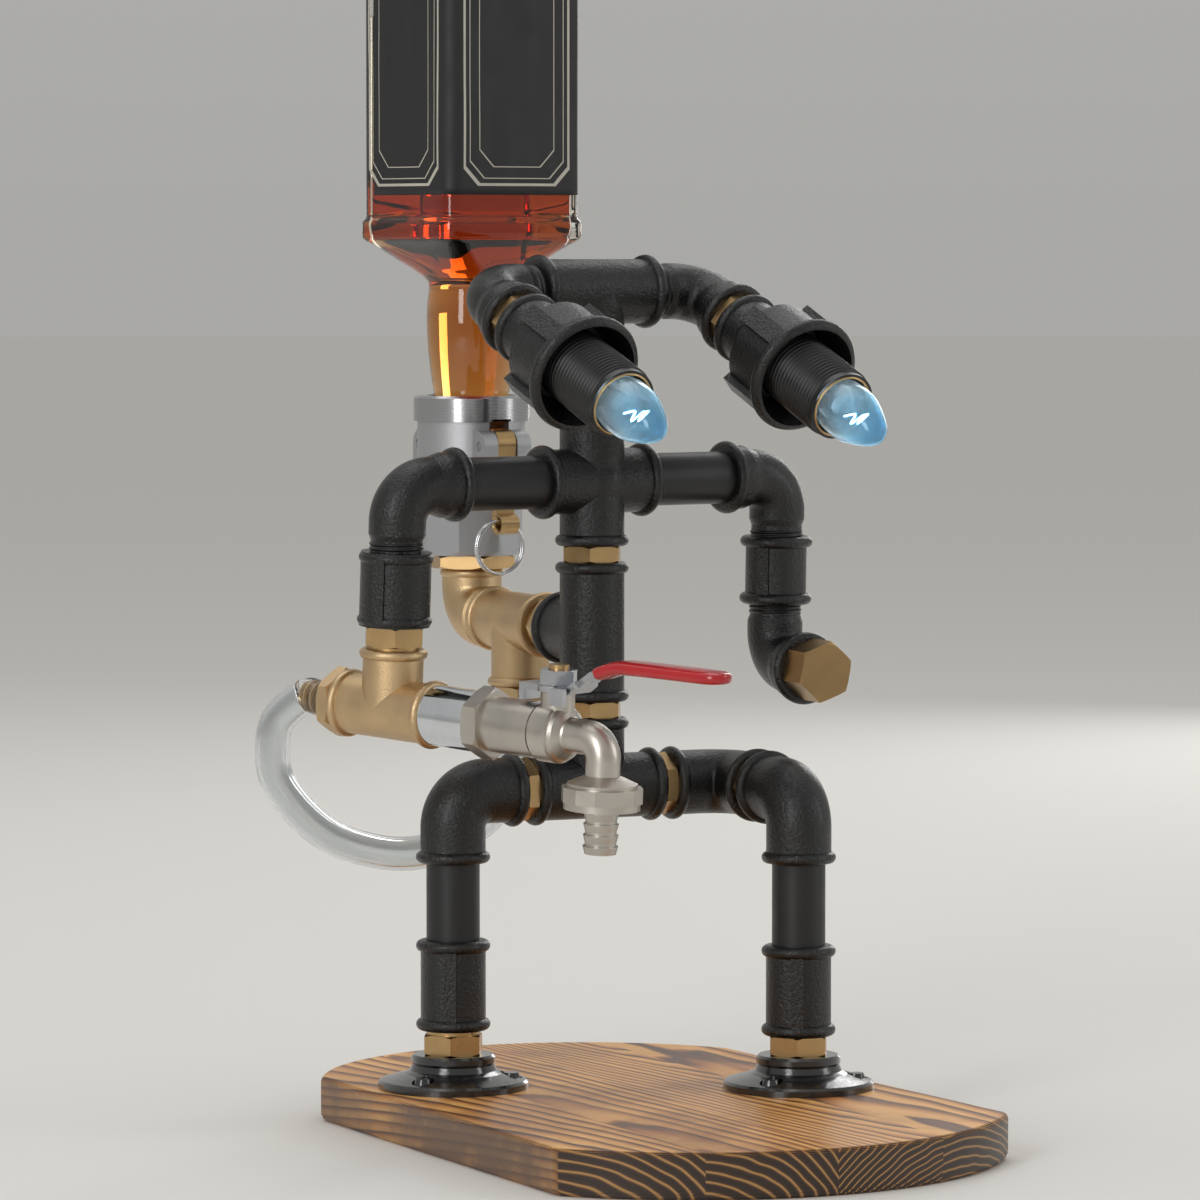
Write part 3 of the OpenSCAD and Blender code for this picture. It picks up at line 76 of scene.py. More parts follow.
tapPlace = armPlaces["left"] @ moved(0, 0, -figure["tapDrop"]) @ turned("Z", figure["tapTurn"])
stemPlace = tapPlace @ moved(figure["stemAlong"], 0, 0)
bottlePlace = moved(0, figure["bottleBack"], figure["bottleFoot"]) @ turned("Z", figure["bottleTurn"])


# camera first: the photo's angle, far away with a long lens; metres and degrees
view = {"spine": (0, 0.05), "away": 2.4, "side": 0.0032, "height": 0.355, "azimuth": -26, "pitch": 3.434,
        "lens": 179.7, "sensor": 36, "near": 0.05, "far": 50}


def addCamera():
    a = math.radians(view["azimuth"])
    cam = bpy.data.cameras.new("camera")
    cam.lens = view["lens"]
    cam.sensor_width = view["sensor"]
    cam.clip_start = view["near"]
    cam.clip_end = view["far"]
    obj = bpy.data.objects.new("camera", cam)
    bpy.context.scene.collection.objects.link(obj)
    x, y = view["spine"]
    obj.location = (
        x + math.sin(a) * view["away"] + math.cos(a) * view["side"],
        y - math.cos(a) * view["away"] + math.sin(a) * view["side"],
        view["height"],
    )
    obj.rotation_euler = (math.radians(90 - view["pitch"]), 0, a)
    bpy.context.scene.camera = obj


addCamera()
print("camera placed")


def tone(hexText):
    parts = [int(hexText[i:i + 2], 16) / 255 for i in (1, 3, 5)]
    return tuple(c / 12.92 if c <= 0.04045 else ((c + 0.055) / 1.055) ** 2.4 for c in parts) + (1,)


def addNode(tree, kind, settings=None, links=None):
    node = tree.nodes.new("ShaderNode" + kind)
    for key, value in (settings or {}).items():
        if key == "stops":
            spots = node.color_ramp.elements
            while len(spots) < len(value):
                spots.new(0.5)
            for spot, (place, colour) in zip(spots, value):
                spot.position = place
                spot.color = tone(colour)
        elif isinstance(key, int) or key in node.inputs:
            node.inputs[key].default_value = value
        else:
            setattr(node, key, value)
    for key, (source, output) in (links or {}).items():
        tree.links.new(source.outputs[output], node.inputs[key])
    return node


def newFinish(name, **settings):
    made = bpy.data.materials.new(name)
    made.use_nodes = True
    tree = made.node_tree
    shader = tree.nodes["Principled BSDF"]
    shader.inputs["Base Color"].default_value = (1, 1, 1, 1)
    for key, value in settings.items():
        shader.inputs[key.replace("_", " ")].default_value = value
    return made, tree, shader


finishes = {}


# pine board of glued staves, flame-charred, wire-brushed and varnished: honey early wood, dark ridged late
# wood, grey-brown long sides and end grain that is dark with pale arcs; sizes in mm
pine = {
    "stave": 50, "ring": 3.3, "seed": 3, "growth": (0.7, 1.25), "tilt": 0.08,
    "heartSpread": (90, 0, 50), "heartStart": (-75, 0, 16),
    "driftSize": (50, 250, 50), "drift": 11, "faintest": 0.42,
    "flameSize": 62.5, "flameShare": 0.7, "soot": (0.92, 0.5),
    "fibreSize": (0.714, 38.5, 0.714), "fibreShare": 0.35, "ridge": 0.3, "ridgeStrength": 0.55,
    "rough": (0.3, 0.52), "varnish": 0.2, "varnishRough": 0.2,
    "light": "#F2B768", "mid": "#CC853A", "dark": "#5C2A0B", "burnt": "#220E05", "scorch": "#A08062",
    "bare": "#FFFFFF", "side": "#5C4535", "end": "#3A2415", "endDeep": "#25150A", "endLine": "#AD8049",
}


def pineYears(tree, coord):
    split = addNode(tree, "SeparateXYZ", links={0: (coord, "Object")})
    place = addNode(tree, "Math", {"operation": "DIVIDE", 1: pine["stave"] / 1000}, {0: (split, "X")})
    index = addNode(tree, "Math", {"operation": "FLOOR"}, {0: (place, 0)})
    pick = addNode(tree, "Math", {"operation": "ADD", 1: pine["seed"] + 0.5}, {0: (index, 0)})
    lot = addNode(tree, "TexWhiteNoise", {"noise_dimensions": "1D"}, {"W": (pick, 0)})
    # each stave has its own heart, some way under or beside it, and its own rate of growth
    share = addNode(tree, "Math", {"operation": "FRACT"}, {0: (place, 0)})
    across = addNode(tree, "Math", {"operation": "MULTIPLY", 1: pine["stave"] / 1000}, {0: (share, 0)})
    tilt = addNode(tree, "MapRange", {"To Min": -pine["tilt"], "To Max": pine["tilt"]},
                   {"Value": (lot, "Value")})
    sunk = addNode(tree, "Math", {"operation": "MULTIPLY_ADD"},
                   {0: (split, "Y"), 1: (tilt, 0), 2: (split, "Z")})
    flat = addNode(tree, "CombineXYZ", links={"X": (across, 0), "Z": (sunk, 0)})
    spread = metres(pine["heartSpread"])
    start = metres(pine["heartStart"])
    heart = addNode(tree, "VectorMath", {"operation": "MULTIPLY_ADD", 1: spread, 2: start},
                    {0: (lot, "Color")})
    fromHeart = addNode(tree, "VectorMath", {"operation": "ADD"}, {0: (flat, 0), 1: (heart, 0)})
    # growth wanders a few millimetres over a hand's length
    slow = addNode(tree, "Mapping", {"Scale": perMetre(pine["driftSize"])}, {"Vector": (coord, "Object")})
    drift = addNode(tree, "TexNoise", {"Scale": 1.0, "Detail": 3.0, "Roughness": 0.55}, {"Vector": (slow, 0)})
    wander = addNode(tree, "VectorMath", {"operation": "MULTIPLY_ADD", 1: metres((pine["drift"],) * 3)},
                     {0: (drift, "Color"), 2: (fromHeart, 0)})
    radius = addNode(tree, "VectorMath", {"operation": "LENGTH"}, {0: (wander, 0)})
    slowest, fastest = pine["growth"]
    growth = addNode(tree, "MapRange", {"To Min": slowest, "To Max": fastest}, {"Value": (lot, "Value")})
    width = addNode(tree, "Math", {"operation": "MULTIPLY", 1: pine["ring"] / 1000}, {0: (growth, 0)})
    return addNode(tree, "Math", {"operation": "DIVIDE"}, {0: (radius, "Value"), 1: (width, 0)})


def charredPine():
    made, tree, shader = newFinish("charred brushed pine", Coat_Weight=pine["varnish"],
                                   Coat_Roughness=pine["varnishRough"])
    coord = addNode(tree, "TexCoord")
    years = pineYears(tree, coord)
    year = addNode(tree, "Math", {"operation": "FRACT"}, {0: (years, 0)})
    stops = [(0, pine["light"]), (0.32, pine["light"]), (0.6, pine["mid"]), (0.8, pine["dark"]),
             (0.92, pine["burnt"]), (1, pine["mid"])]
    rings = addNode(tree, "ValToRGB", {"stops": stops}, {"Fac": (year, 0)})
    # some years left a stronger line than others
    number = addNode(tree, "Math", {"operation": "FLOOR"}, {0: (years, 0)})
    yearLot = addNode(tree, "TexWhiteNoise", {"noise_dimensions": "1D"}, {"W": (number, 0)})
    faint = addNode(tree, "MapRange", {"To Min": 0.0, "To Max": pine["faintest"]},
                    {"Value": (yearLot, "Value")})
    lines = addNode(tree, "Mix", {"data_type": "RGBA", 7: tone(pine["mid"])},
                    {"Factor": (faint, 0), 6: (rings, "Color")})
    # the flame took more in some places than in others
    flame = addNode(tree, "TexNoise", {"Scale": 1000 / pine["flameSize"], "Detail": 4.0, "Roughness": 0.6},
                    {"Vector": (coord, "Object")})
    stops = [(0.3, pine["scorch"]), (0.54, pine["bare"])]
    scorch = addNode(tree, "ValToRGB", {"stops": stops}, {"Fac": (flame, "Fac")})
    charred = addNode(tree, "Mix",
                      {"data_type": "RGBA", "blend_type": "MULTIPLY", "Factor": pine["flameShare"]},
                      {6: (lines, 2), 7: (scorch, "Color")})
    # the sides were held in the flame longer, and end grain soaked up the most
    facing = addNode(tree, "SeparateXYZ", links={0: (coord, "Normal")})
    upright = addNode(tree, "Math", {"operation": "ABSOLUTE"}, {0: (facing, "Z")})
    rim = addNode(tree, "MapRange", {"From Min": 0.35, "From Max": 0.8, "To Min": 1.0, "To Max": 0.0},
                  {"Value": (upright, 0)})
    along = addNode(tree, "Math", {"operation": "ABSOLUTE"}, {0: (facing, "Y")})
    endness = addNode(tree, "MapRange", {"From Min": 0.3, "From Max": 0.6}, {"Value": (along, 0)})
    most, least = pine["soot"]
    soot = addNode(tree, "MapRange", {"From Min": 0.42, "From Max": 0.62, "To Min": most, "To Max": least},
                   {"Value": (flame, "Fac")})
    longSide = addNode(tree, "Mix", {"data_type": "RGBA", 7: tone(pine["side"])},
                       {"Factor": (soot, 0), 6: (charred, 2)})
    stops = [(0, pine["endLine"]), (0.12, pine["end"]), (0.5, pine["endDeep"]), (0.78, pine["end"]),
             (0.93, pine["endLine"]), (1, pine["endLine"])]
    endGrain = addNode(tree, "ValToRGB", {"stops": stops}, {"Fac": (year, 0)})
    edges = addNode(tree, "Mix", {"data_type": "RGBA"},
                    {"Factor": (endness, 0), 6: (longSide, 2), 7: (endGrain, "Color")})
    edged = addNode(tree, "Mix", {"data_type": "RGBA"}, {"Factor": (rim, 0), 6: (charred, 2), 7: (edges, 2)})
    tree.links.new(edged.outputs[2], shader.inputs["Base Color"])
    # brushed fibres, drawn coarse enough to show, run along the staves, and late wood stands a little proud
    long = addNode(tree, "Mapping", {"Scale": perMetre(pine["fibreSize"])}, {"Vector": (coord, "Object")})
    fibre = addNode(tree, "TexNoise", {"Scale": 1.0, "Detail": 2.0}, {"Vector": (long, 0)})
    height = addNode(tree, "Math", {"operation": "MULTIPLY_ADD", 1: pine["fibreShare"]},
                     {0: (fibre, "Fac"), 2: (year, 0)})
    bump = addNode(tree, "Bump", {"Strength": pine["ridgeStrength"], "Distance": pine["ridge"] / 1000},
                   {"Height": (height, 0)})
    tree.links.new(bump.outputs[0], shader.inputs["Normal"])
    smoothest, roughest = pine["rough"]
    gloss = addNode(tree, "MapRange", {"To Min": smoothest, "To Max": roughest}, {"Value": (fibre, "Fac")})
    tree.links.new(gloss.outputs[0], shader.inputs["Roughness"])
    return made


finishes["charredPine"] = charredPine()


# metals, paints, plastics and paper: colour, how polished, any coat over it, and the size and depth in mm
# of the grain that the process leaves
opaques = {
    # malleable iron from a sand mould, black oiled: fine pebbled skin, broad soft highlights
    "blackIron": {"name": "black oiled malleable iron", "colour": "#070708", "metallic": 0.0,
                  "rough": (0.27, 0.38), "grain": 1.3, "depth": 0.6, "coat": 0.1},
    # the same iron under gloss paint: rounded pebbles, sharp highlights
    "glossIron": {"name": "gloss black painted iron", "colour": "#0D0D0F", "metallic": 0.0,
                  "rough": (0.12, 0.22), "grain": 2.6, "depth": 0.2, "coat": 0.8},
    # drawn steel tube, black lacquer: smooth and satin
    "blackTube": {"name": "black lacquered steel tube", "colour": "#0E0E10", "metallic": 0.0,
                  "rough": (0.4, 0.5), "grain": 0.6, "depth": 0.03, "coat": 0.1},
    # sand-cast brass, tumbled: warm satin skin with fine pits
    "castBrass": {"name": "sand-cast brass", "colour": "#CDB189", "metallic": 1.0,
                  "rough": (0.36, 0.48), "grain": 0.8, "depth": 0.16},
    # bar brass, turned and milled: clean faces, a little tarnish
    "turnedBrass": {"name": "turned brass", "colour": "#C2A273", "metallic": 1.0,
                    "rough": (0.24, 0.36), "grain": 2.2, "depth": 0.015},
    # brass bar long in the air: bronze-brown, uneven sheen
    "darkBrass": {"name": "tarnished brass", "colour": "#A3875F", "metallic": 1.0,
                  "rough": (0.28, 0.42), "grain": 1.6, "depth": 0.03},
    # chrome over polished brass: a mirror
    "chromePlate": {"name": "chrome plate", "colour": "#D9DCE0", "metallic": 1.0,
                    "rough": (0.05, 0.09), "grain": 3.0, "depth": 0.004},
    # nickel plate over bead-blasted brass: pale, warm, even satin
    "satinNickel": {"name": "blasted nickel plate", "colour": "#C3BDB4", "metallic": 1.0,
                    "rough": (0.3, 0.4), "grain": 0.5, "depth": 0.03},
    # bright zinc on pressed steel: cool, a little cloudy
    "zincPlate": {"name": "zinc-plated steel", "colour": "#BEC0C4", "metallic": 1.0,
                  "rough": (0.2, 0.32), "grain": 1.4, "depth": 0.015},
    # the zinc screws of the flanges, painted over together with them
    "paintedScrew": {"name": "zinc screw painted black", "colour": "#101012", "metallic": 0.0,
                     "rough": (0.14, 0.24), "grain": 1.6, "depth": 0.08, "coat": 0.7},
    # drawn spring wire, nickel-plated: bright and even
    "ringWire": {"name": "nickel-plated wire", "colour": "#CFD0D2", "metallic": 1.0,
                 "rough": (0.2, 0.28), "grain": 2.0, "depth": 0.003},
    # drawn nickel wire that carries the lamp's filament: greyish
    "leadWire": {"name": "nickel lead wire", "colour": "#B9B6B0", "metallic": 1.0,
                 "rough": (0.2, 0.3), "grain": 1.0, "depth": 0.004},
    # moulded phenolic: black, slightly waxy
    "bakelite": {"name": "black phenolic moulding", "colour": "#121213", "metallic": 0.0,
                 "rough": (0.3, 0.4), "grain": 1.5, "depth": 0.02},
    # pressed nitrile washer: dull black
    "sealRubber": {"name": "nitrile rubber", "colour": "#141414", "metallic": 0.0,
                   "rough": (0.6, 0.75), "grain": 0.8, "depth": 0.03},
    # turned sealing plastic inside the tap: white, greasy sheen
    "sealPlastic": {"name": "white fluoropolymer", "colour": "#ECECE8", "metallic": 0.0,
                    "rough": (0.4, 0.5), "grain": 1.5, "depth": 0.01},
    # vinyl plastisol that the lever was dipped in: deep red, wet-looking, softly wavy
    "redDip": {"name": "dipped red vinyl", "colour": "#B3141C", "metallic": 0.0,
               "rough": (0.16, 0.26), "grain": 7.0, "depth": 0.08, "coat": 0.35},
    # uncoated paper, printed black all over: dull, with a fine tooth
    "labelPaper": {"name": "black label paper", "colour": "#1B1A1C", "metallic": 0.0,
                   "rough": (0.5, 0.62), "grain": 0.4, "depth": 0.02},
    # pale ink left standing on it: a little smoother than the paper
    "labelPrint": {"name": "pale label ink", "colour": "#B9B4A8", "metallic": 0.0,
                   "rough": (0.4, 0.5), "grain": 0.4, "depth": 0.01},
}
wear = {"patch": 14.3, "shade": (0.86, 1.08), "coatRough": 0.18}


def grainyFinish(spec):
    colour = tone(spec["colour"])
    made, tree, shader = newFinish(spec["name"], Base_Color=colour, Metallic=spec["metallic"],
                                   Coat_Weight=spec.get("coat", 0.0), Coat_Roughness=wear["coatRough"])
    coord = addNode(tree, "TexCoord")
    grain = addNode(tree, "TexNoise", {"Scale": 1000 / spec["grain"], "Detail": 3.0, "Roughness": 0.6},
                    {"Vector": (coord, "Object")})
    bump = addNode(tree, "Bump", {"Strength": 1.0, "Distance": spec["depth"] / 1000},
                   {"Height": (grain, "Fac")})
    tree.links.new(bump.outputs[0], shader.inputs["Normal"])
    # handling and casting leave patches a centimetre or two wide
    patch = addNode(tree, "TexNoise", {"Scale": 1000 / wear["patch"], "Detail": 3.0},
                    {"Vector": (coord, "Object")})
    low, high = spec["rough"]
    gloss = addNode(tree, "MapRange", {"From Min": 0.3, "From Max": 0.7, "To Min": low, "To Max": high},
                    {"Value": (patch, "Fac")})
    tree.links.new(gloss.outputs[0], shader.inputs["Roughness"])
    darkest, palest = wear["shade"]
    worn = addNode(tree, "MapRange",
                   {"From Min": 0.25, "From Max": 0.75, "To Min": darkest, "To Max": palest},
                   {"Value": (patch, "Fac")})
    shade = addNode(tree, "Mix", {"data_type": "RGBA", "blend_type": "MULTIPLY", "Factor": 1.0, 6: colour},
                    {7: (worn, 0)})
    tree.links.new(shade.outputs[2], shader.inputs["Base Color"])
    return made


for key, spec in opaques.items():
    finishes[key] = grainyFinish(spec)


# gravity-cast aluminium, blasted, with a turned band at its top: grey satin below, bright fine rings above;
# the height of the band's foot and all sizes in mm
aluminium = {"colour": "#B4B5B8", "bandFoot": 279.8, "bandRing": 0.6, "bandDepth": 0.02, "bandRough": 0.2,
             "grain": 0.714, "castDepth": 0.12, "castRough": 0.46}


def castAluminium():
    made, tree, shader = newFinish("cast aluminium", Base_Color=tone(aluminium["colour"]), Metallic=1.0)
    coord = addNode(tree, "TexCoord")
    split = addNode(tree, "SeparateXYZ", links={0: (coord, "Object")})
    band = addNode(tree, "Math", {"operation": "GREATER_THAN", 1: aluminium["bandFoot"] / 1000},
                   {0: (split, "Z")})
    grain = addNode(tree, "TexNoise", {"Scale": 1000 / aluminium["grain"], "Detail": 3.0, "Roughness": 0.65},
                    {"Vector": (coord, "Object")})
    tool = addNode(tree, "Math", {"operation": "DIVIDE", 1: aluminium["bandRing"] / 1000}, {0: (split, "Z")})
    groove = addNode(tree, "Math", {"operation": "PINGPONG", 1: 0.5}, {0: (tool, 0)})
    height = addNode(tree, "Mix", {"data_type": "FLOAT"},
                     {"Factor": (band, 0), 2: (grain, "Fac"), 3: (groove, 0)})
    depths = {"To Min": aluminium["castDepth"] / 1000, "To Max": aluminium["bandDepth"] / 1000}
    depth = addNode(tree, "MapRange", depths, {"Value": (band, 0)})
    bump = addNode(tree, "Bump", {"Strength": 1.0}, {"Height": (height, 0), "Distance": (depth, 0)})
    tree.links.new(bump.outputs[0], shader.inputs["Normal"])
    gloss = addNode(tree, "MapRange", {"To Min": aluminium["castRough"], "To Max": aluminium["bandRough"]},
                    {"Value": (band, 0)})
    tree.links.new(gloss.outputs[0], shader.inputs["Roughness"])
    return made


finishes["castAluminium"] = castAluminium()


# clear things: colour, gloss, bending of light, and the width and depth in mm of the low waves that forming
# leaves
clears = {
    # bottle glass blown in a mould: clear, with slow waves
    "flintGlass": {"name": "flint glass", "colour": "#F3F1EA", "rough": 0.015, "ior": 1.52,
                   "wave": 18, "depth": 0.05},
    # the same glass where spirit wets it: light bends by 1.52 over 1.36 only, so the wall all but vanishes
    "wetGlass": {"name": "flint glass against spirit", "colour": "#FFFFFF", "rough": 0.0, "ior": 1.118,
                 "wave": 18, "depth": 0.05},
    # extruded vinyl: clear with a faint bloom
    "clearVinyl": {"name": "clear vinyl tube", "colour": "#EAEDEE", "rough": 0.06, "ior": 1.45,
                   "wave": 9, "depth": 0.06},
    # lead glass pressed round the wires: clear, thick and wavy
    "stemGlass": {"name": "pressed stem glass", "colour": "#F0F0EA", "rough": 0.02, "ior": 1.52,
                  "wave": 4, "depth": 0.08},
}


def clearFinish(spec):
    made, tree, shader = newFinish(spec["name"], Base_Color=tone(spec["colour"]), Roughness=spec["rough"],
                                   IOR=spec["ior"], Transmission_Weight=1.0)
    coord = addNode(tree, "TexCoord")
    wave = addNode(tree, "TexNoise", {"Scale": 1000 / spec["wave"], "Detail": 1.0},
                   {"Vector": (coord, "Object")})
    bump = addNode(tree, "Bump", {"Strength": 1.0, "Distance": spec["depth"] / 1000},
                   {"Height": (wave, "Fac")})
    tree.links.new(bump.outputs[0], shader.inputs["Normal"])
    return made


for key, spec in clears.items():
    finishes[key] = clearFinish(spec)


# whisky: amber through the neck's width and red-orange through the body's; only its level is a surface of
# its own, because elsewhere the wetted glass already bends the light; level in mm above the mouth
spirit = {"level": 200, "colour": "#F3C73F", "density": 120.0, "ior": 1.36, "levelSkin": 0.2, "overlap": 0.12}


def amberSpirit():
    made, tree, shader = newFinish("amber spirit", Roughness=0.0, IOR=spirit["ior"], Transmission_Weight=1.0)
    coord = addNode(tree, "TexCoord")
    split = addNode(tree, "SeparateXYZ", links={0: (coord, "Object")})
    height = (bottlePlace @ Vector((0, 0, spirit["level"] / 1000))).z
    skin = {"operation": "GREATER_THAN", 1: height - spirit["levelSkin"] / 1000}
    atLevel = addNode(tree, "Math", skin, {0: (split, "Z")})
    through = addNode(tree, "BsdfTransparent")
    either = addNode(tree, "MixShader", links={0: (atLevel, 0), 1: (through, 0), 2: (shader, 0)})
    depth = addNode(tree, "VolumeAbsorption", {"Color": tone(spirit["colour"]), "Density": spirit["density"]})
    ends = tree.nodes["Material Output"].inputs
    tree.links.new(either.outputs[0], ends["Surface"])
    tree.links.new(depth.outputs[0], ends["Volume"])
    return made


finishes["spirit"] = amberSpirit()


# blown soda glass with a blue lacquer that deepens towards the tip, and whose haze catches the light of
# the filament
lampTint = {"tip": "#4F9FCC", "middle": "#93CBE6", "clear": "#FAFCFC", "haze": "#DCEFF8", "hazeShare": 0.16,
            "ior": 1.5}


def lampGlass():
    made, tree, shader = newFinish("blue-tipped soda glass", Roughness=0.0, IOR=lampTint["ior"],
                                   Transmission_Weight=1.0)
    coord = addNode(tree, "TexCoord")
    split = addNode(tree, "SeparateXYZ", links={0: (coord, "Generated")})
    stops = [(0.0, lampTint["tip"]), (0.3, lampTint["middle"]), (0.6, lampTint["clear"])]
    dip = addNode(tree, "ValToRGB", {"stops": stops}, {"Fac": (split, "Y")})
    tree.links.new(dip.outputs["Color"], shader.inputs["Base Color"])
    haze = addNode(tree, "BsdfTranslucent", {"Color": tone(lampTint["haze"])})
    both = addNode(tree, "MixShader", {0: lampTint["hazeShare"]}, {1: (shader, 0), 2: (haze, 0)})
    tree.links.new(both.outputs[0], tree.nodes["Material Output"].inputs["Surface"])
    return made


finishes["lampGlass"] = lampGlass()


# coiled tungsten at working heat: white with a cool fringe, uneven from turn to turn; the turns are drawn
# coarser than real ones, in mm, so that they show
tungsten = {"colour": "#EAF7FF", "turn": 0.625, "glow": (45.0, 90.0)}


def glowingTungsten():
    made, tree, shader = newFinish("glowing tungsten", Roughness=0.5, Emission_Color=tone(tungsten["colour"]))
    coord = addNode(tree, "TexCoord")
    turns = addNode(tree, "TexNoise", {"Scale": 1000 / tungsten["turn"], "Detail": 2.0},
                    {"Vector": (coord, "Object")})
    dimmest, brightest = tungsten["glow"]
    heat = addNode(tree, "MapRange",
                   {"From Min": 0.3, "From Max": 0.7, "To Min": dimmest, "To Max": brightest},
                   {"Value": (turns, "Fac")})
    tree.links.new(heat.outputs[0], shader.inputs["Emission Strength"])
    return made


finishes["filament"] = glowingTungsten()
print("finishes:", len(finishes))


finishOf = {
    "charredPine": ["base_board"],
    "glossIron": ["left_floor_flange", "right_floor_flange"],
    "blackTube": ["leg_pipes", "shoulder_pipes", "neck_pipe"],
    "blackIron": ["leg_sockets", "left_hip_elbow", "right_hip_elbow", "stride_elbow", "hip_tee", "spine_tee",
                  "shoulder_cross", "head_tee", "left_brow_elbow", "right_brow_elbow", "left_eye_cup",
                  "right_eye_cup", "left_shoulder_elbow", "right_shoulder_elbow", "arm_sockets",
                  "hand_elbow"],
    "castBrass": ["arm_tee", "back_tee", "back_elbow", "hose_tails"],
    "turnedBrass": ["ankle_nipples", "hip_nipples", "spine_nipples", "eye_nipples", "wrist_nipple",
                    "bottle_bush", "front_cam_lever", "rear_cam_lever", "tap_stem"],
    "darkBrass": ["hand_plug"],
    "chromePlate": ["tap_extension", "tap_ball"],
    "satinNickel": ["tap_inlet", "tap_body", "spout_nut", "spout_tail"],
    "paintedScrew": ["flange_screws"],
    "zincPlate": ["tap_lever", "lever_nut", "cam_pins", "left_bulb_base", "right_bulb_base"],
    "ringWire": ["front_pull_ring", "rear_pull_ring"],
    "bakelite": ["lamp_holders"],
    "sealRubber": ["holder_seal"],
    "sealPlastic": ["tap_seats"],
    "castAluminium": ["bottle_holder"],
}
for key, names in finishOf.items():
    for name in names:
        cad[name].data.materials.clear()
        cad[name].data.materials.append(finishes[key])


# a piece's points are in mm in its sub-assembly's own frame
def addPiece(name, points, faces, finish, body, slotName, place=None, smooth=True, replaced=()):
    place = place or Matrix.Identity(4)
    mesh = bpy.data.meshes.new(name)
    mesh.from_pydata([place @ (Vector(p) / 1000) for p in points], [], faces)
    work = bmesh.new()
    work.from_mesh(mesh)
    bmesh.ops.recalc_face_normals(work, faces=work.faces)
    work.to_mesh(mesh)
    work.free()
    if smooth:
        mesh.shade_smooth()
    obj = bpy.data.objects.new(name, mesh)
    bpy.context.scene.collection.objects.link(obj)
    mesh.materials.append(finishes[finish])
    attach(obj, body)
    if replaced:
        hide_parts(*replaced)
    return obj


# a skin over rings of equal count, closed on itself or capped at both ends
def ringStack(rings, closed=False):
    points = [p for ring in rings for p in ring]
    sides = len(rings[0])
    last = len(rings) if closed else len(rings) - 1
    faces = []
    for i in range(last):
        here = i * sides
        there = (i + 1) % len(rings) * sides
        for k in range(sides):
            after = (k + 1) % sides
            faces.append((here + k, here + after, there + after, there + k))
    if not closed:
        faces.append(tuple(reversed(range(sides))))
        faces.append(tuple((len(rings) - 1) * sides + k for k in range(sides)))
    return points, faces


def roundRing(r, z, sides=48):
    turns = [2 * math.pi * k / sides for k in range(sides)]
    return [(r * math.cos(t), r * math.sin(t), z) for t in turns]


def hoop(r, z, wire, turns=64, sides=10):
    section = [2 * math.pi * k / sides for k in range(sides)]
    spots = [(r + wire * math.cos(t), z + wire * math.sin(t)) for t in section]
    rings = []
    for i in range(turns):
        a = 2 * math.pi * i / turns
        rings.append([(x * math.cos(a), x * math.sin(a), h) for x, h in spots])
    return rings


# a smooth line that passes through each point of the route
def throughPoints(route, steps):
    made = []
    for i in range(len(route) - 1):
        a = route[max(i - 1, 0)]
        b = route[i]
        c = route[i + 1]
        d = route[min(i + 2, len(route) - 1)]
        for s in range(steps):
            t = s / steps
            square = (2 * a - 5 * b + 4 * c - d) * t * t
            cube = (3 * b - a - 3 * c + d) * t ** 3
            made.append(0.5 * (2 * b + (c - a) * t + square + cube))
    return made + [route[-1]]


def tubeRings(path, radius, sides):
    last = len(path) - 1
    ways = [(path[min(i + 1, last)] - path[max(i - 1, 0)]).normalized() for i in range(len(path))]
    up = Vector((0, 0, 1)) if abs(ways[0].z) < 0.9 else Vector((1, 0, 0))
    turns = [2 * math.pi * k / sides for k in range(sides)]
    rings = []
    for point, way in zip(path, ways):
        up = (up - way * up.dot(way)).normalized()
        beside = way.cross(up)
        rings.append([tuple(point + (up * math.cos(t) + beside * math.sin(t)) * radius) for t in turns])
    return rings


def turnInward(mesh, first):
    work = bmesh.new()
    work.from_mesh(mesh)
    bmesh.ops.reverse_faces(work, faces=[f for f in work.faces if min(v.index for v in f.verts) >= first])
    work.to_mesh(mesh)
    work.free()


# the clear hose hangs in a loop from the arm's tail to the one under the back tee; armEnd and armLeave lie
# along the tap's line
hose = {
    "outside": 14, "bore": 10.4, "sides": 32, "steps": 8,
    "armEnd": -29.6, "armLeave": -46.5, "backEnd": (0, 117.5, 166.3), "backGrip": 17,
    "middle": [(-118, 94, 164), (-119, 98, 152), (-116, 101, 140), (-107, 103, 128), (-94, 105, 117),
               (-79, 107, 110), (-60, 109, 106), (-42, 111, 107), (-24, 114, 114), (-9, 117, 126)],
}


def addHose():
    start = tapPlace @ Vector((hose["armEnd"] / 1000, 0, 0)) * 1000
    leave = tapPlace @ Vector((hose["armLeave"] / 1000, 0, 0)) * 1000
    end = Vector(hose["backEnd"])
    arrive = end - Vector((0, 0, hose["backGrip"]))
    middle = [Vector(p) for p in hose["middle"]]
    route = [start, (start + leave) / 2, leave] + middle + [arrive, (arrive + end) / 2, end]
    path = throughPoints(route, hose["steps"])
    points, faces = ringStack(tubeRings(path, hose["outside"] / 2, hose["sides"]))
    # the vinyl grips the tails, so its bore is open between them only
    between = path[2 * hose["steps"]:-2 * hose["steps"]]
    inside, walls = ringStack(tubeRings(between, hose["bore"] / 2, hose["sides"]))
    skin = len(points)
    faces += [tuple(skin + k for k in f) for f in walls]
    piece = addPiece("vinyl_hose", points + inside, faces, "clearVinyl", "frame", "clear_vinyl",
                     replaced=("hose",))
    turnInward(piece.data, skin)


addHose()


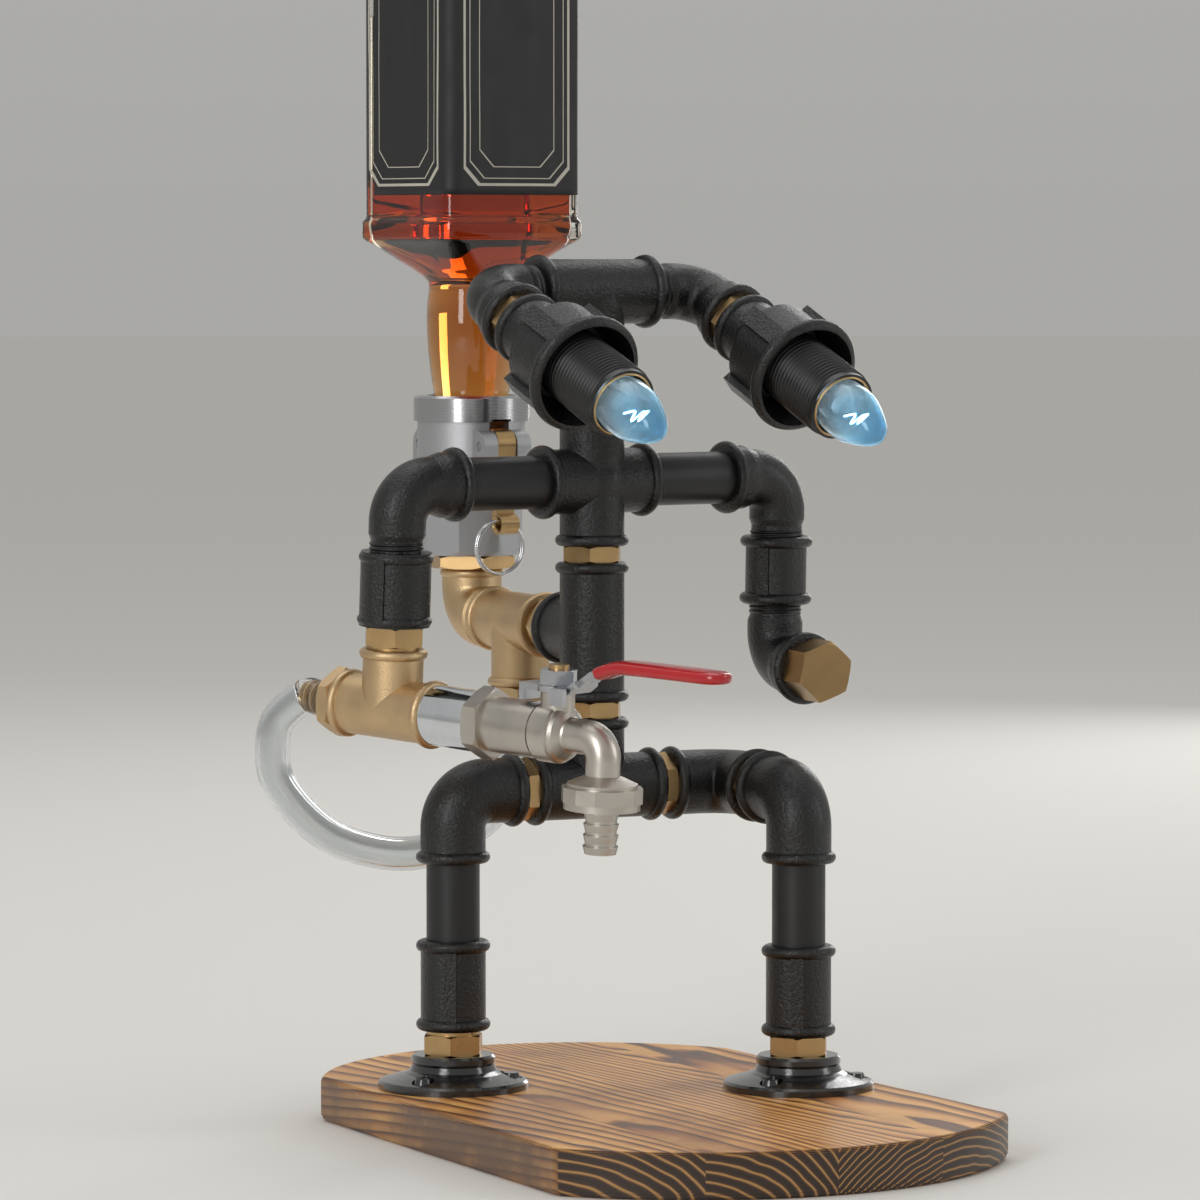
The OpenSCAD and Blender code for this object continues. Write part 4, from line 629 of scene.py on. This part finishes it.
# bottle: square with rounded corners, drawn into a neck; a station is its height above the mouth, half width
# and corner radius; outer stations run from the mouth to the bottom, inner ones back to the mouth
bottle = {
    "flatSteps": 16, "cornerSteps": 6, "flatTurn": 38.5,
    "outer": [
        (0, 12.6, 12.6), (0.4, 13.4, 13.4), (1.2, 13.8, 13.8), (12.6, 13.8, 13.8), (14, 14.0, 14.0),
        (15.5, 14.4, 14.4), (26, 14.7, 14.7), (36, 15.1, 15.1), (44, 16.0, 16.0), (52, 17.2, 17.2),
        (60, 18.1, 18.1), (68, 18.6, 18.6), (75, 18.8, 18.8), (81, 18.5, 18.5), (85.5, 17.9, 17.9),
        (88.2, 17.8, 17.8), (90, 18.4, 18.4), (91.4, 19.6, 19.2), (95, 22.8, 17.5), (99, 26.5, 14),
        (103, 30.2, 10.5), (105.4, 32.6, 8.6), (106.4, 33.9, 8), (107.4, 34.8, 7.8), (108.4, 35.1, 7.6),
        (113.6, 35.1, 7.6), (114.8, 34.8, 7.4), (115.6, 34.1, 7), (116.4, 33.6, 6.6), (117.6, 33.5, 6.5),
        (150, 33.5, 6.5), (200, 33.5, 6.5), (246, 33.5, 6.5), (249, 33.0, 6.4), (250.8, 31.8, 6.2),
        (251.6, 30, 6), (251.7, 27, 6), (251, 22, 8), (249.8, 12, 8), (249.4, 0.5, 0.5)],
    "inner": [
        (243.6, 0.5, 0.5), (244, 12, 8), (244.6, 22, 7), (244.4, 27, 6), (243.2, 29, 5), (240.5, 29.9, 4.4),
        (200, 29.9, 4.4), (150, 29.9, 4.4), (112, 29.9, 4.4), (109.5, 29.4, 4.6), (106.5, 27.2, 6),
        (102, 23, 9), (97, 18.6, 12), (93, 16.4, 15.4), (90.5, 15.4, 15.4), (84, 15.4, 15.4),
        (76, 16.0, 16.0), (66, 15.6, 15.6), (56, 14.5, 14.5), (46, 12.6, 12.6), (38, 11.4, 11.4),
        (28, 10.8, 10.8), (14, 10.6, 10.6), (0.8, 10.5, 10.5), (0, 11.1, 11.1)],
}


# every station has its points at the same angles, so the square body runs evenly into the round neck
def squareRing(half, corner, z, grow=0.0):
    flat = math.radians(bottle["flatTurn"])
    flatSteps = bottle["flatSteps"]
    cornerSteps = bottle["cornerSteps"]
    angles = []
    for quarter in range(4):
        base = quarter * math.pi / 2
        angles += [base - flat + 2 * flat * k / flatSteps for k in range(flatSteps)]
        angles += [base + flat + (math.pi / 2 - 2 * flat) * k / cornerSteps for k in range(cornerSteps)]
    ring = []
    for a in angles:
        x = math.cos(a)
        y = math.sin(a)
        q = half - corner
        reach = half / max(abs(x), abs(y))
        if min(abs(x), abs(y)) * reach > q:
            b = q * (abs(x) + abs(y))
            reach = b + math.sqrt(max(b * b - 2 * q * q + corner * corner, 0))
        ring.append((x * (reach + grow), y * (reach + grow), z))
    return ring


def addBottle():
    stations = bottle["outer"] + bottle["inner"]
    rings = [squareRing(half, corner, z) for z, half, corner in stations]
    points, faces = ringStack(rings, closed=True)
    bottom = len(bottle["outer"]) - 1
    sides = len(rings[0])
    # the bottom is two flat caps, not a wall between its last outer and first inner ring
    faces = [f for f in faces if not (min(f) // sides == bottom and max(f) // sides == bottom + 1)]
    faces.append(tuple(bottom * sides + k for k in range(sides)))
    faces.append(tuple((bottom + 1) * sides + k for k in reversed(range(sides))))
    glass = addPiece("glass_bottle", points, faces, "flintGlass", "bottle", "bottle_glass", bottlePlace,
                     replaced=("bottle",))
    glass.data.materials.append(finishes["wetGlass"])
    for face in glass.data.polygons:
        rows = [v // sides for v in face.vertices]
        if min(rows) > bottom and max(stations[row][0] for row in rows) <= spirit["level"]:
            face.material_index = 1
    # spirit reaches a hair into the glass, so that no air shows between them
    wet = [station for station in reversed(bottle["inner"]) if station[0] <= spirit["level"]][1:]
    rings = [squareRing(half, corner, z, spirit["overlap"]) for z, half, corner in wet]
    addPiece("amber_spirit", *ringStack(rings), "spirit", "bottle", "bottle_glass", bottlePlace)


addBottle()
print("bottle and spirit")


# label: black paper round the bottle, with plain ruled borders on three faces and a gap at the back;
# a rule is its inset and width, and ends are the columns left off the paper's two ends
label = {
    "half": 33.5, "corner": 6.5, "foot": 125.5, "top": 238, "off": 0.1, "thick": 0.12, "ink": 0.03,
    "pucker": 0.45, "puckerRate": (0.14, 0.025), "rows": 40, "flatSteps": 24, "cornerSteps": 8,
    "ends": (2, 12), "ruledFaces": (2, 3, 0), "rules": [(4.2, 1.1), (6.8, 0.4), (11.5, 0.4)],
    "margin": 3.5, "cut": 7, "ruleSteps": 24,
}


def paperPoint(spot, way, height, off):
    # damp paper dries with low puckers that run up and down
    across, upward = label["puckerRate"]
    swell = noise.noise(Vector((spot.x * across, spot.y * across, height * upward)))
    p = spot + way * (off + max(swell, 0) * label["pucker"])
    return (p.x, p.y, height)


def labelLine():
    q = label["half"] - label["corner"]
    steps = label["flatSteps"]
    line = []
    for quarter in (2, 3, 0, 1):
        turn = Matrix.Rotation(math.pi / 2 * quarter, 3, "Z")
        across = [-q + 2 * q * k / steps for k in range(steps + 1)]
        spots = [(Vector((label["half"], u, 0)), Vector((1, 0, 0))) for u in across]
        for k in range(1, label["cornerSteps"]):
            a = math.pi / 2 / label["cornerSteps"] * k
            way = Vector((math.cos(a), math.sin(a), 0))
            spots.append((Vector((q, q, 0)) + way * label["corner"], way))
        line += [(turn @ p, turn @ n) for p, n in spots]
    first, last = label["ends"]
    return line[first:-last]


def addLabel():
    rows = label["rows"]
    heights = [label["foot"] + (label["top"] - label["foot"]) * j / rows for j in range(rows + 1)]
    near = label["off"]
    far = near + label["thick"]
    # each column is a flat loop up the face of the paper and down its back
    rings = []
    for spot, way in labelLine():
        front = [paperPoint(spot, way, z, far) for z in heights]
        back = [paperPoint(spot, way, z, near) for z in reversed(heights)]
        rings.append(front + back)
    addPiece("paper_label", *ringStack(rings), "labelPaper", "bottle", "bottle_glass", bottlePlace)


def borderWalk(edge):
    u = label["half"] - label["margin"] - edge
    low = label["foot"] + edge
    high = label["top"] - edge
    cut = label["cut"]
    corners = [(-u, low + cut), (-u + cut, low), (u - cut, low), (u, low + cut),
               (u, high - cut), (u - cut, high), (-u + cut, high), (-u, high - cut)]
    steps = label["ruleSteps"]
    walk = []
    for (a, b), (c, d) in zip(corners, corners[1:] + corners[:1]):
        walk += [(a + (c - a) * k / steps, b + (d - b) * k / steps) for k in range(steps)]
    return walk


def addRules():
    face = label["off"] + label["thick"]
    under = face - label["ink"]
    over = face + label["ink"]
    points = []
    faces = []
    for quarter in label["ruledFaces"]:
        turn = Matrix.Rotation(math.pi / 2 * quarter, 3, "Z")
        way = turn @ Vector((1, 0, 0))
        for inset, width in label["rules"]:
            rings = []
            for (a, b), (c, d) in zip(borderWalk(inset - width / 2), borderWalk(inset + width / 2)):
                section = [(a, b, under), (a, b, over), (c, d, over), (c, d, under)]
                ring = []
                for u, h, off in section:
                    ring.append(paperPoint(turn @ Vector((label["half"], u, 0)), way, h, off))
                rings.append(ring)
            more, quads = ringStack(rings, closed=True)
            faces += [tuple(len(points) + k for k in f) for f in quads]
            points += more
    addPiece("label_rules", points, faces, "labelPrint", "bottle", "bottle_glass", bottlePlace, smooth=False)


addLabel()
addRules()
print("label")


# candle lamps: blown envelope, glass stem, two lead wires and a draped filament, as radius and height above
# the holder's foot, or as points
lamp = {
    "outline": [(6.4, 31), (6.5, 33.2), (8.1, 35.6), (9.7, 38), (11.0, 42), (11.5, 47), (11.2, 52.6),
                (10.1, 57), (8.3, 62), (6.3, 66.5), (4.5, 69.3), (2.7, 70.9), (1.2, 71.4), (0.05, 71.5)],
    "stem": [(0.05, 34), (5.6, 34.2), (7.4, 37), (7.6, 40), (6.2, 43), (3.8, 45), (2.4, 46.6), (1.8, 48),
             (1.1, 48.8), (0.05, 49)],
    "lead": [(1.0, 0, 47), (1.6, 0, 48.6), (3.6, 0, 50), (4.6, 0, 52.5)],
    "drape": [(4.6, 0, 52.5), (3.1, 2.8, 57), (1.6, -2.6, 54), (0, 3.4, 58.5), (-1.6, -2.6, 54),
              (-3.1, 2.8, 57), (-4.6, 0, 52.5)],
    "wall": 0.8, "pole": 0.05, "leadRadius": 0.22, "coilRadius": 0.32,
    "rimRadius": 12.5, "rimHeight": 44, "rimWire": 0.5,
}


def envelopeRings():
    curve = throughPoints([Vector((r, 0, z)) for r, z in lamp["outline"]], 4)
    outer = [(max(p.x, lamp["pole"]), p.z) for p in curve]
    inner = []
    for i, (r, z) in enumerate(outer):
        before = curve[max(i - 1, 0)]
        after = curve[min(i + 1, len(curve) - 1)]
        way = (after - before).normalized()
        inner.append((max(r - way.z * lamp["wall"], lamp["pole"]), z + way.x * lamp["wall"]))
    inner[-1] = (lamp["pole"], outer[-1][1] - lamp["wall"])
    return [roundRing(r, z) for r, z in outer + inner[::-1]]


def addLamps():
    envelope = ringStack(envelopeRings(), closed=True)
    stem = ringStack([roundRing(r, z, 24) for r, z in lamp["stem"]])
    lead = throughPoints([Vector(p) for p in lamp["lead"]], 4)
    drape = throughPoints([Vector(p) for p in lamp["drape"]], 6)
    coil = ringStack(tubeRings(drape, lamp["coilRadius"], 10))
    rim = ringStack(hoop(lamp["rimRadius"], lamp["rimHeight"], lamp["rimWire"]), closed=True)
    for side, place in lampPlaces.items():
        body = side + "_lamp"
        addPiece(side + "_envelope", *envelope, "lampGlass", body, "bulb_glass", place,
                 replaced=(side + "_bulb",))
        addPiece(side + "_lamp_stem", *stem, "stemGlass", body, "bulb_glass", place)
        for turn, name in ((0, "a"), (180, "b")):
            wire = [turned("Z", turn).to_3x3() @ p for p in lead]
            tube = ringStack(tubeRings(wire, lamp["leadRadius"], 8))
            addPiece(side + "_lead_" + name, *tube, "leadWire", body, "bulb_glass", place)
        addPiece(side + "_filament", *coil, "filament", body, "bulb_glass", place)
        addPiece(side + "_holder_rim", *rim, "turnedBrass", "frame", "brass", place)


addLamps()
print("lamps")


# threads that show: the lamp holders' barrels, and the bare end of each street elbow
threadKinds = {
    # moulded shade thread
    "holder": {"root": 13.9, "crest": 14.8, "pitch": 2.0, "finish": "bakelite", "slot": "black_bakelite"},
    # half-inch pipe thread, 14 to the inch
    "pipe": {"root": 10.3, "crest": 11.0, "pitch": 1.814, "finish": "blackTube", "slot": "black_iron"},
}
threads = [
    # name, kind, place, foot, top
    ("left_holder_thread", "holder", lampPlaces["left"], 6, 41.5),
    ("right_holder_thread", "holder", lampPlaces["right"], 6, 41.5),
    ("left_shoulder_thread", "pipe", armPlaces["left"], -25.7, -21.4),
    ("right_shoulder_thread", "pipe", armPlaces["right"], -25.7, -21.4),
    ("hand_thread", "pipe", armPlaces["right"], -56.8, -52.5),
    ("left_brow_thread", "pipe", browPlaces["left"] @ turned("Y", 90), 20, 24.3),
    ("right_brow_thread", "pipe", browPlaces["right"] @ turned("Y", -90), 20, 24.3),
]
threadShape = {"sides": 64, "stepsPerTurn": 8, "runOut": 4, "wall": 0.6}


def addThreads():
    sides = threadShape["sides"]
    runOut = threadShape["runOut"]
    for name, kindName, place, foot, top in threads:
        kind = threadKinds[kindName]
        root = kind["root"]
        steps = round((top - foot) / kind["pitch"] * threadShape["stepsPerTurn"])
        rings = []
        for i in range(steps + 1):
            z = foot + (top - foot) * i / steps
            depth = (kind["crest"] - root) * min(1, i / runOut, (steps - i) / runOut)
            ring = []
            for k in range(sides):
                turn = k / sides
                wave = abs(((z / kind["pitch"] - turn) % 1) * 2 - 1)
                r = root + depth * wave
                ring.append((r * math.cos(2 * math.pi * turn), r * math.sin(2 * math.pi * turn), z))
            rings.append(ring)
        inside = [roundRing(root - threadShape["wall"], end, sides) for end in (top, foot)]
        addPiece(name, *ringStack(rings + inside, closed=True), kind["finish"], "frame", kind["slot"], place)


addThreads()


# the lever's dipped grip: a soft flat sleeve with a rounded end; its line is the distance from the stem, the
# height and the share of full size
grip = {
    "half": 7.0, "thick": 2.7, "sides": 28, "sideRound": 0.55, "faceRound": 0.8, "leastThick": 0.35,
    "line": [(22.4, 25.4, 0.90), (22.8, 25.6, 0.97), (24, 26.05, 1), (26, 26.8, 1), (30, 28.2, 1),
             (34, 28.9, 1), (40, 29.05, 1), (52, 29.25, 1), (64, 29.4, 1), (73, 29.5, 1),
             (76.5, 29.55, 0.97), (79, 29.6, 0.88), (81, 29.6, 0.72), (82.2, 29.6, 0.52),
             (82.8, 29.6, 0.32), (83, 29.6, 0.1)],
}


def addGrip():
    line = grip["line"]
    rings = []
    for i, (x, z, size) in enumerate(line):
        before = line[max(i - 1, 0)]
        after = line[min(i + 1, len(line) - 1)]
        way = Vector((after[0] - before[0], 0, after[1] - before[1])).normalized()
        up = Vector((-way.z, 0, way.x))
        thick = grip["thick"] * (grip["leastThick"] + (1 - grip["leastThick"]) * size)
        ring = []
        for k in range(grip["sides"]):
            a = 2 * math.pi * k / grip["sides"]
            c = math.cos(a)
            s = math.sin(a)
            wide = math.copysign(abs(c) ** grip["sideRound"], c) * grip["half"] * size
            high = math.copysign(abs(s) ** grip["faceRound"], s) * thick
            ring.append(tuple(Vector((x, wide, z)) + up * high))
        rings.append(ring)
    addPiece("dipped_grip", *ringStack(rings), "redDip", "tap_handle", "red_dip", stemPlace,
             replaced=("lever_grip",))


addGrip()
print("threads and grip")


# plain pale floor, open all round, under a soft sky; reach in metres, grain and depth in mm
studio = {"floor": "#E2E0DC", "rough": 0.85, "reach": 20.0, "sides": 96, "grain": 0.9, "depth": 0.03,
          "horizon": "#CDCCC9", "sky": "#E4E3E0", "skyFrom": 0.25, "level": 0.65}


def addFloor():
    # matt card: even, with a faint tooth
    made, tree, shader = newFinish("pale card", Base_Color=tone(studio["floor"]), Roughness=studio["rough"])
    coord = addNode(tree, "TexCoord")
    tooth = addNode(tree, "TexNoise", {"Scale": 1000 / studio["grain"], "Detail": 2.0},
                    {"Vector": (coord, "Object")})
    bump = addNode(tree, "Bump", {"Strength": 1.0, "Distance": studio["depth"] / 1000},
                   {"Height": (tooth, "Fac")})
    tree.links.new(bump.outputs[0], shader.inputs["Normal"])
    mesh = bpy.data.meshes.new("floor")
    rim = roundRing(studio["reach"], 0, studio["sides"])
    mesh.from_pydata(rim, [], [tuple(range(studio["sides"]))])
    mesh.materials.append(made)
    obj = bpy.data.objects.new("floor", mesh)
    bpy.context.scene.collection.objects.link(obj)


def addSky():
    world = bpy.data.worlds.new("studio")
    bpy.context.scene.world = world
    world.use_nodes = True
    tree = world.node_tree
    coord = addNode(tree, "TexCoord")
    split = addNode(tree, "SeparateXYZ", links={0: (coord, "Generated")})
    stops = [(0.0, studio["horizon"]), (studio["skyFrom"], studio["sky"])]
    rise = addNode(tree, "ValToRGB", {"stops": stops}, {"Fac": (split, "Z")})
    back = tree.nodes["Background"]
    tree.links.new(rise.outputs["Color"], back.inputs["Color"])
    back.inputs["Strength"].default_value = studio["level"]


# soft boxes: two in front, one above, and a narrow one behind that shines through the neck and the hose
softBoxes = [
    # name, place, aims at, width, height, watts
    ("key", (-1.9, -1.3, 1.0), (0, 0.05, 0.3), 0.6, 1.6, 20),
    ("fill", (2.3, -1.35, 1.0), (0, 0.05, 0.3), 0.6, 1.5, 9),
    ("top", (0, 0.5, 2.2), (0, 0.05, 0.2), 1.6, 1.6, 12),
    ("rim", (1.3, 1.4, 0.95), (0, 0.1, 0.3), 0.3, 1.5, 5),
]


def addSoftBoxes():
    for name, place, aim, width, height, watts in softBoxes:
        light = bpy.data.lights.new(name, "AREA")
        light.shape = "RECTANGLE"
        light.size = width
        light.size_y = height
        light.energy = watts
        obj = bpy.data.objects.new(name, light)
        bpy.context.scene.collection.objects.link(obj)
        obj.location = place
        obj.rotation_euler = (Vector(aim) - Vector(place)).to_track_quat("-Z", "Y").to_euler()
        obj.visible_camera = False  # no white board stands in a view from another side


addFloor()
addSky()
addSoftBoxes()
bpy.context.scene.view_settings.view_transform = "Standard"
print("studio set")
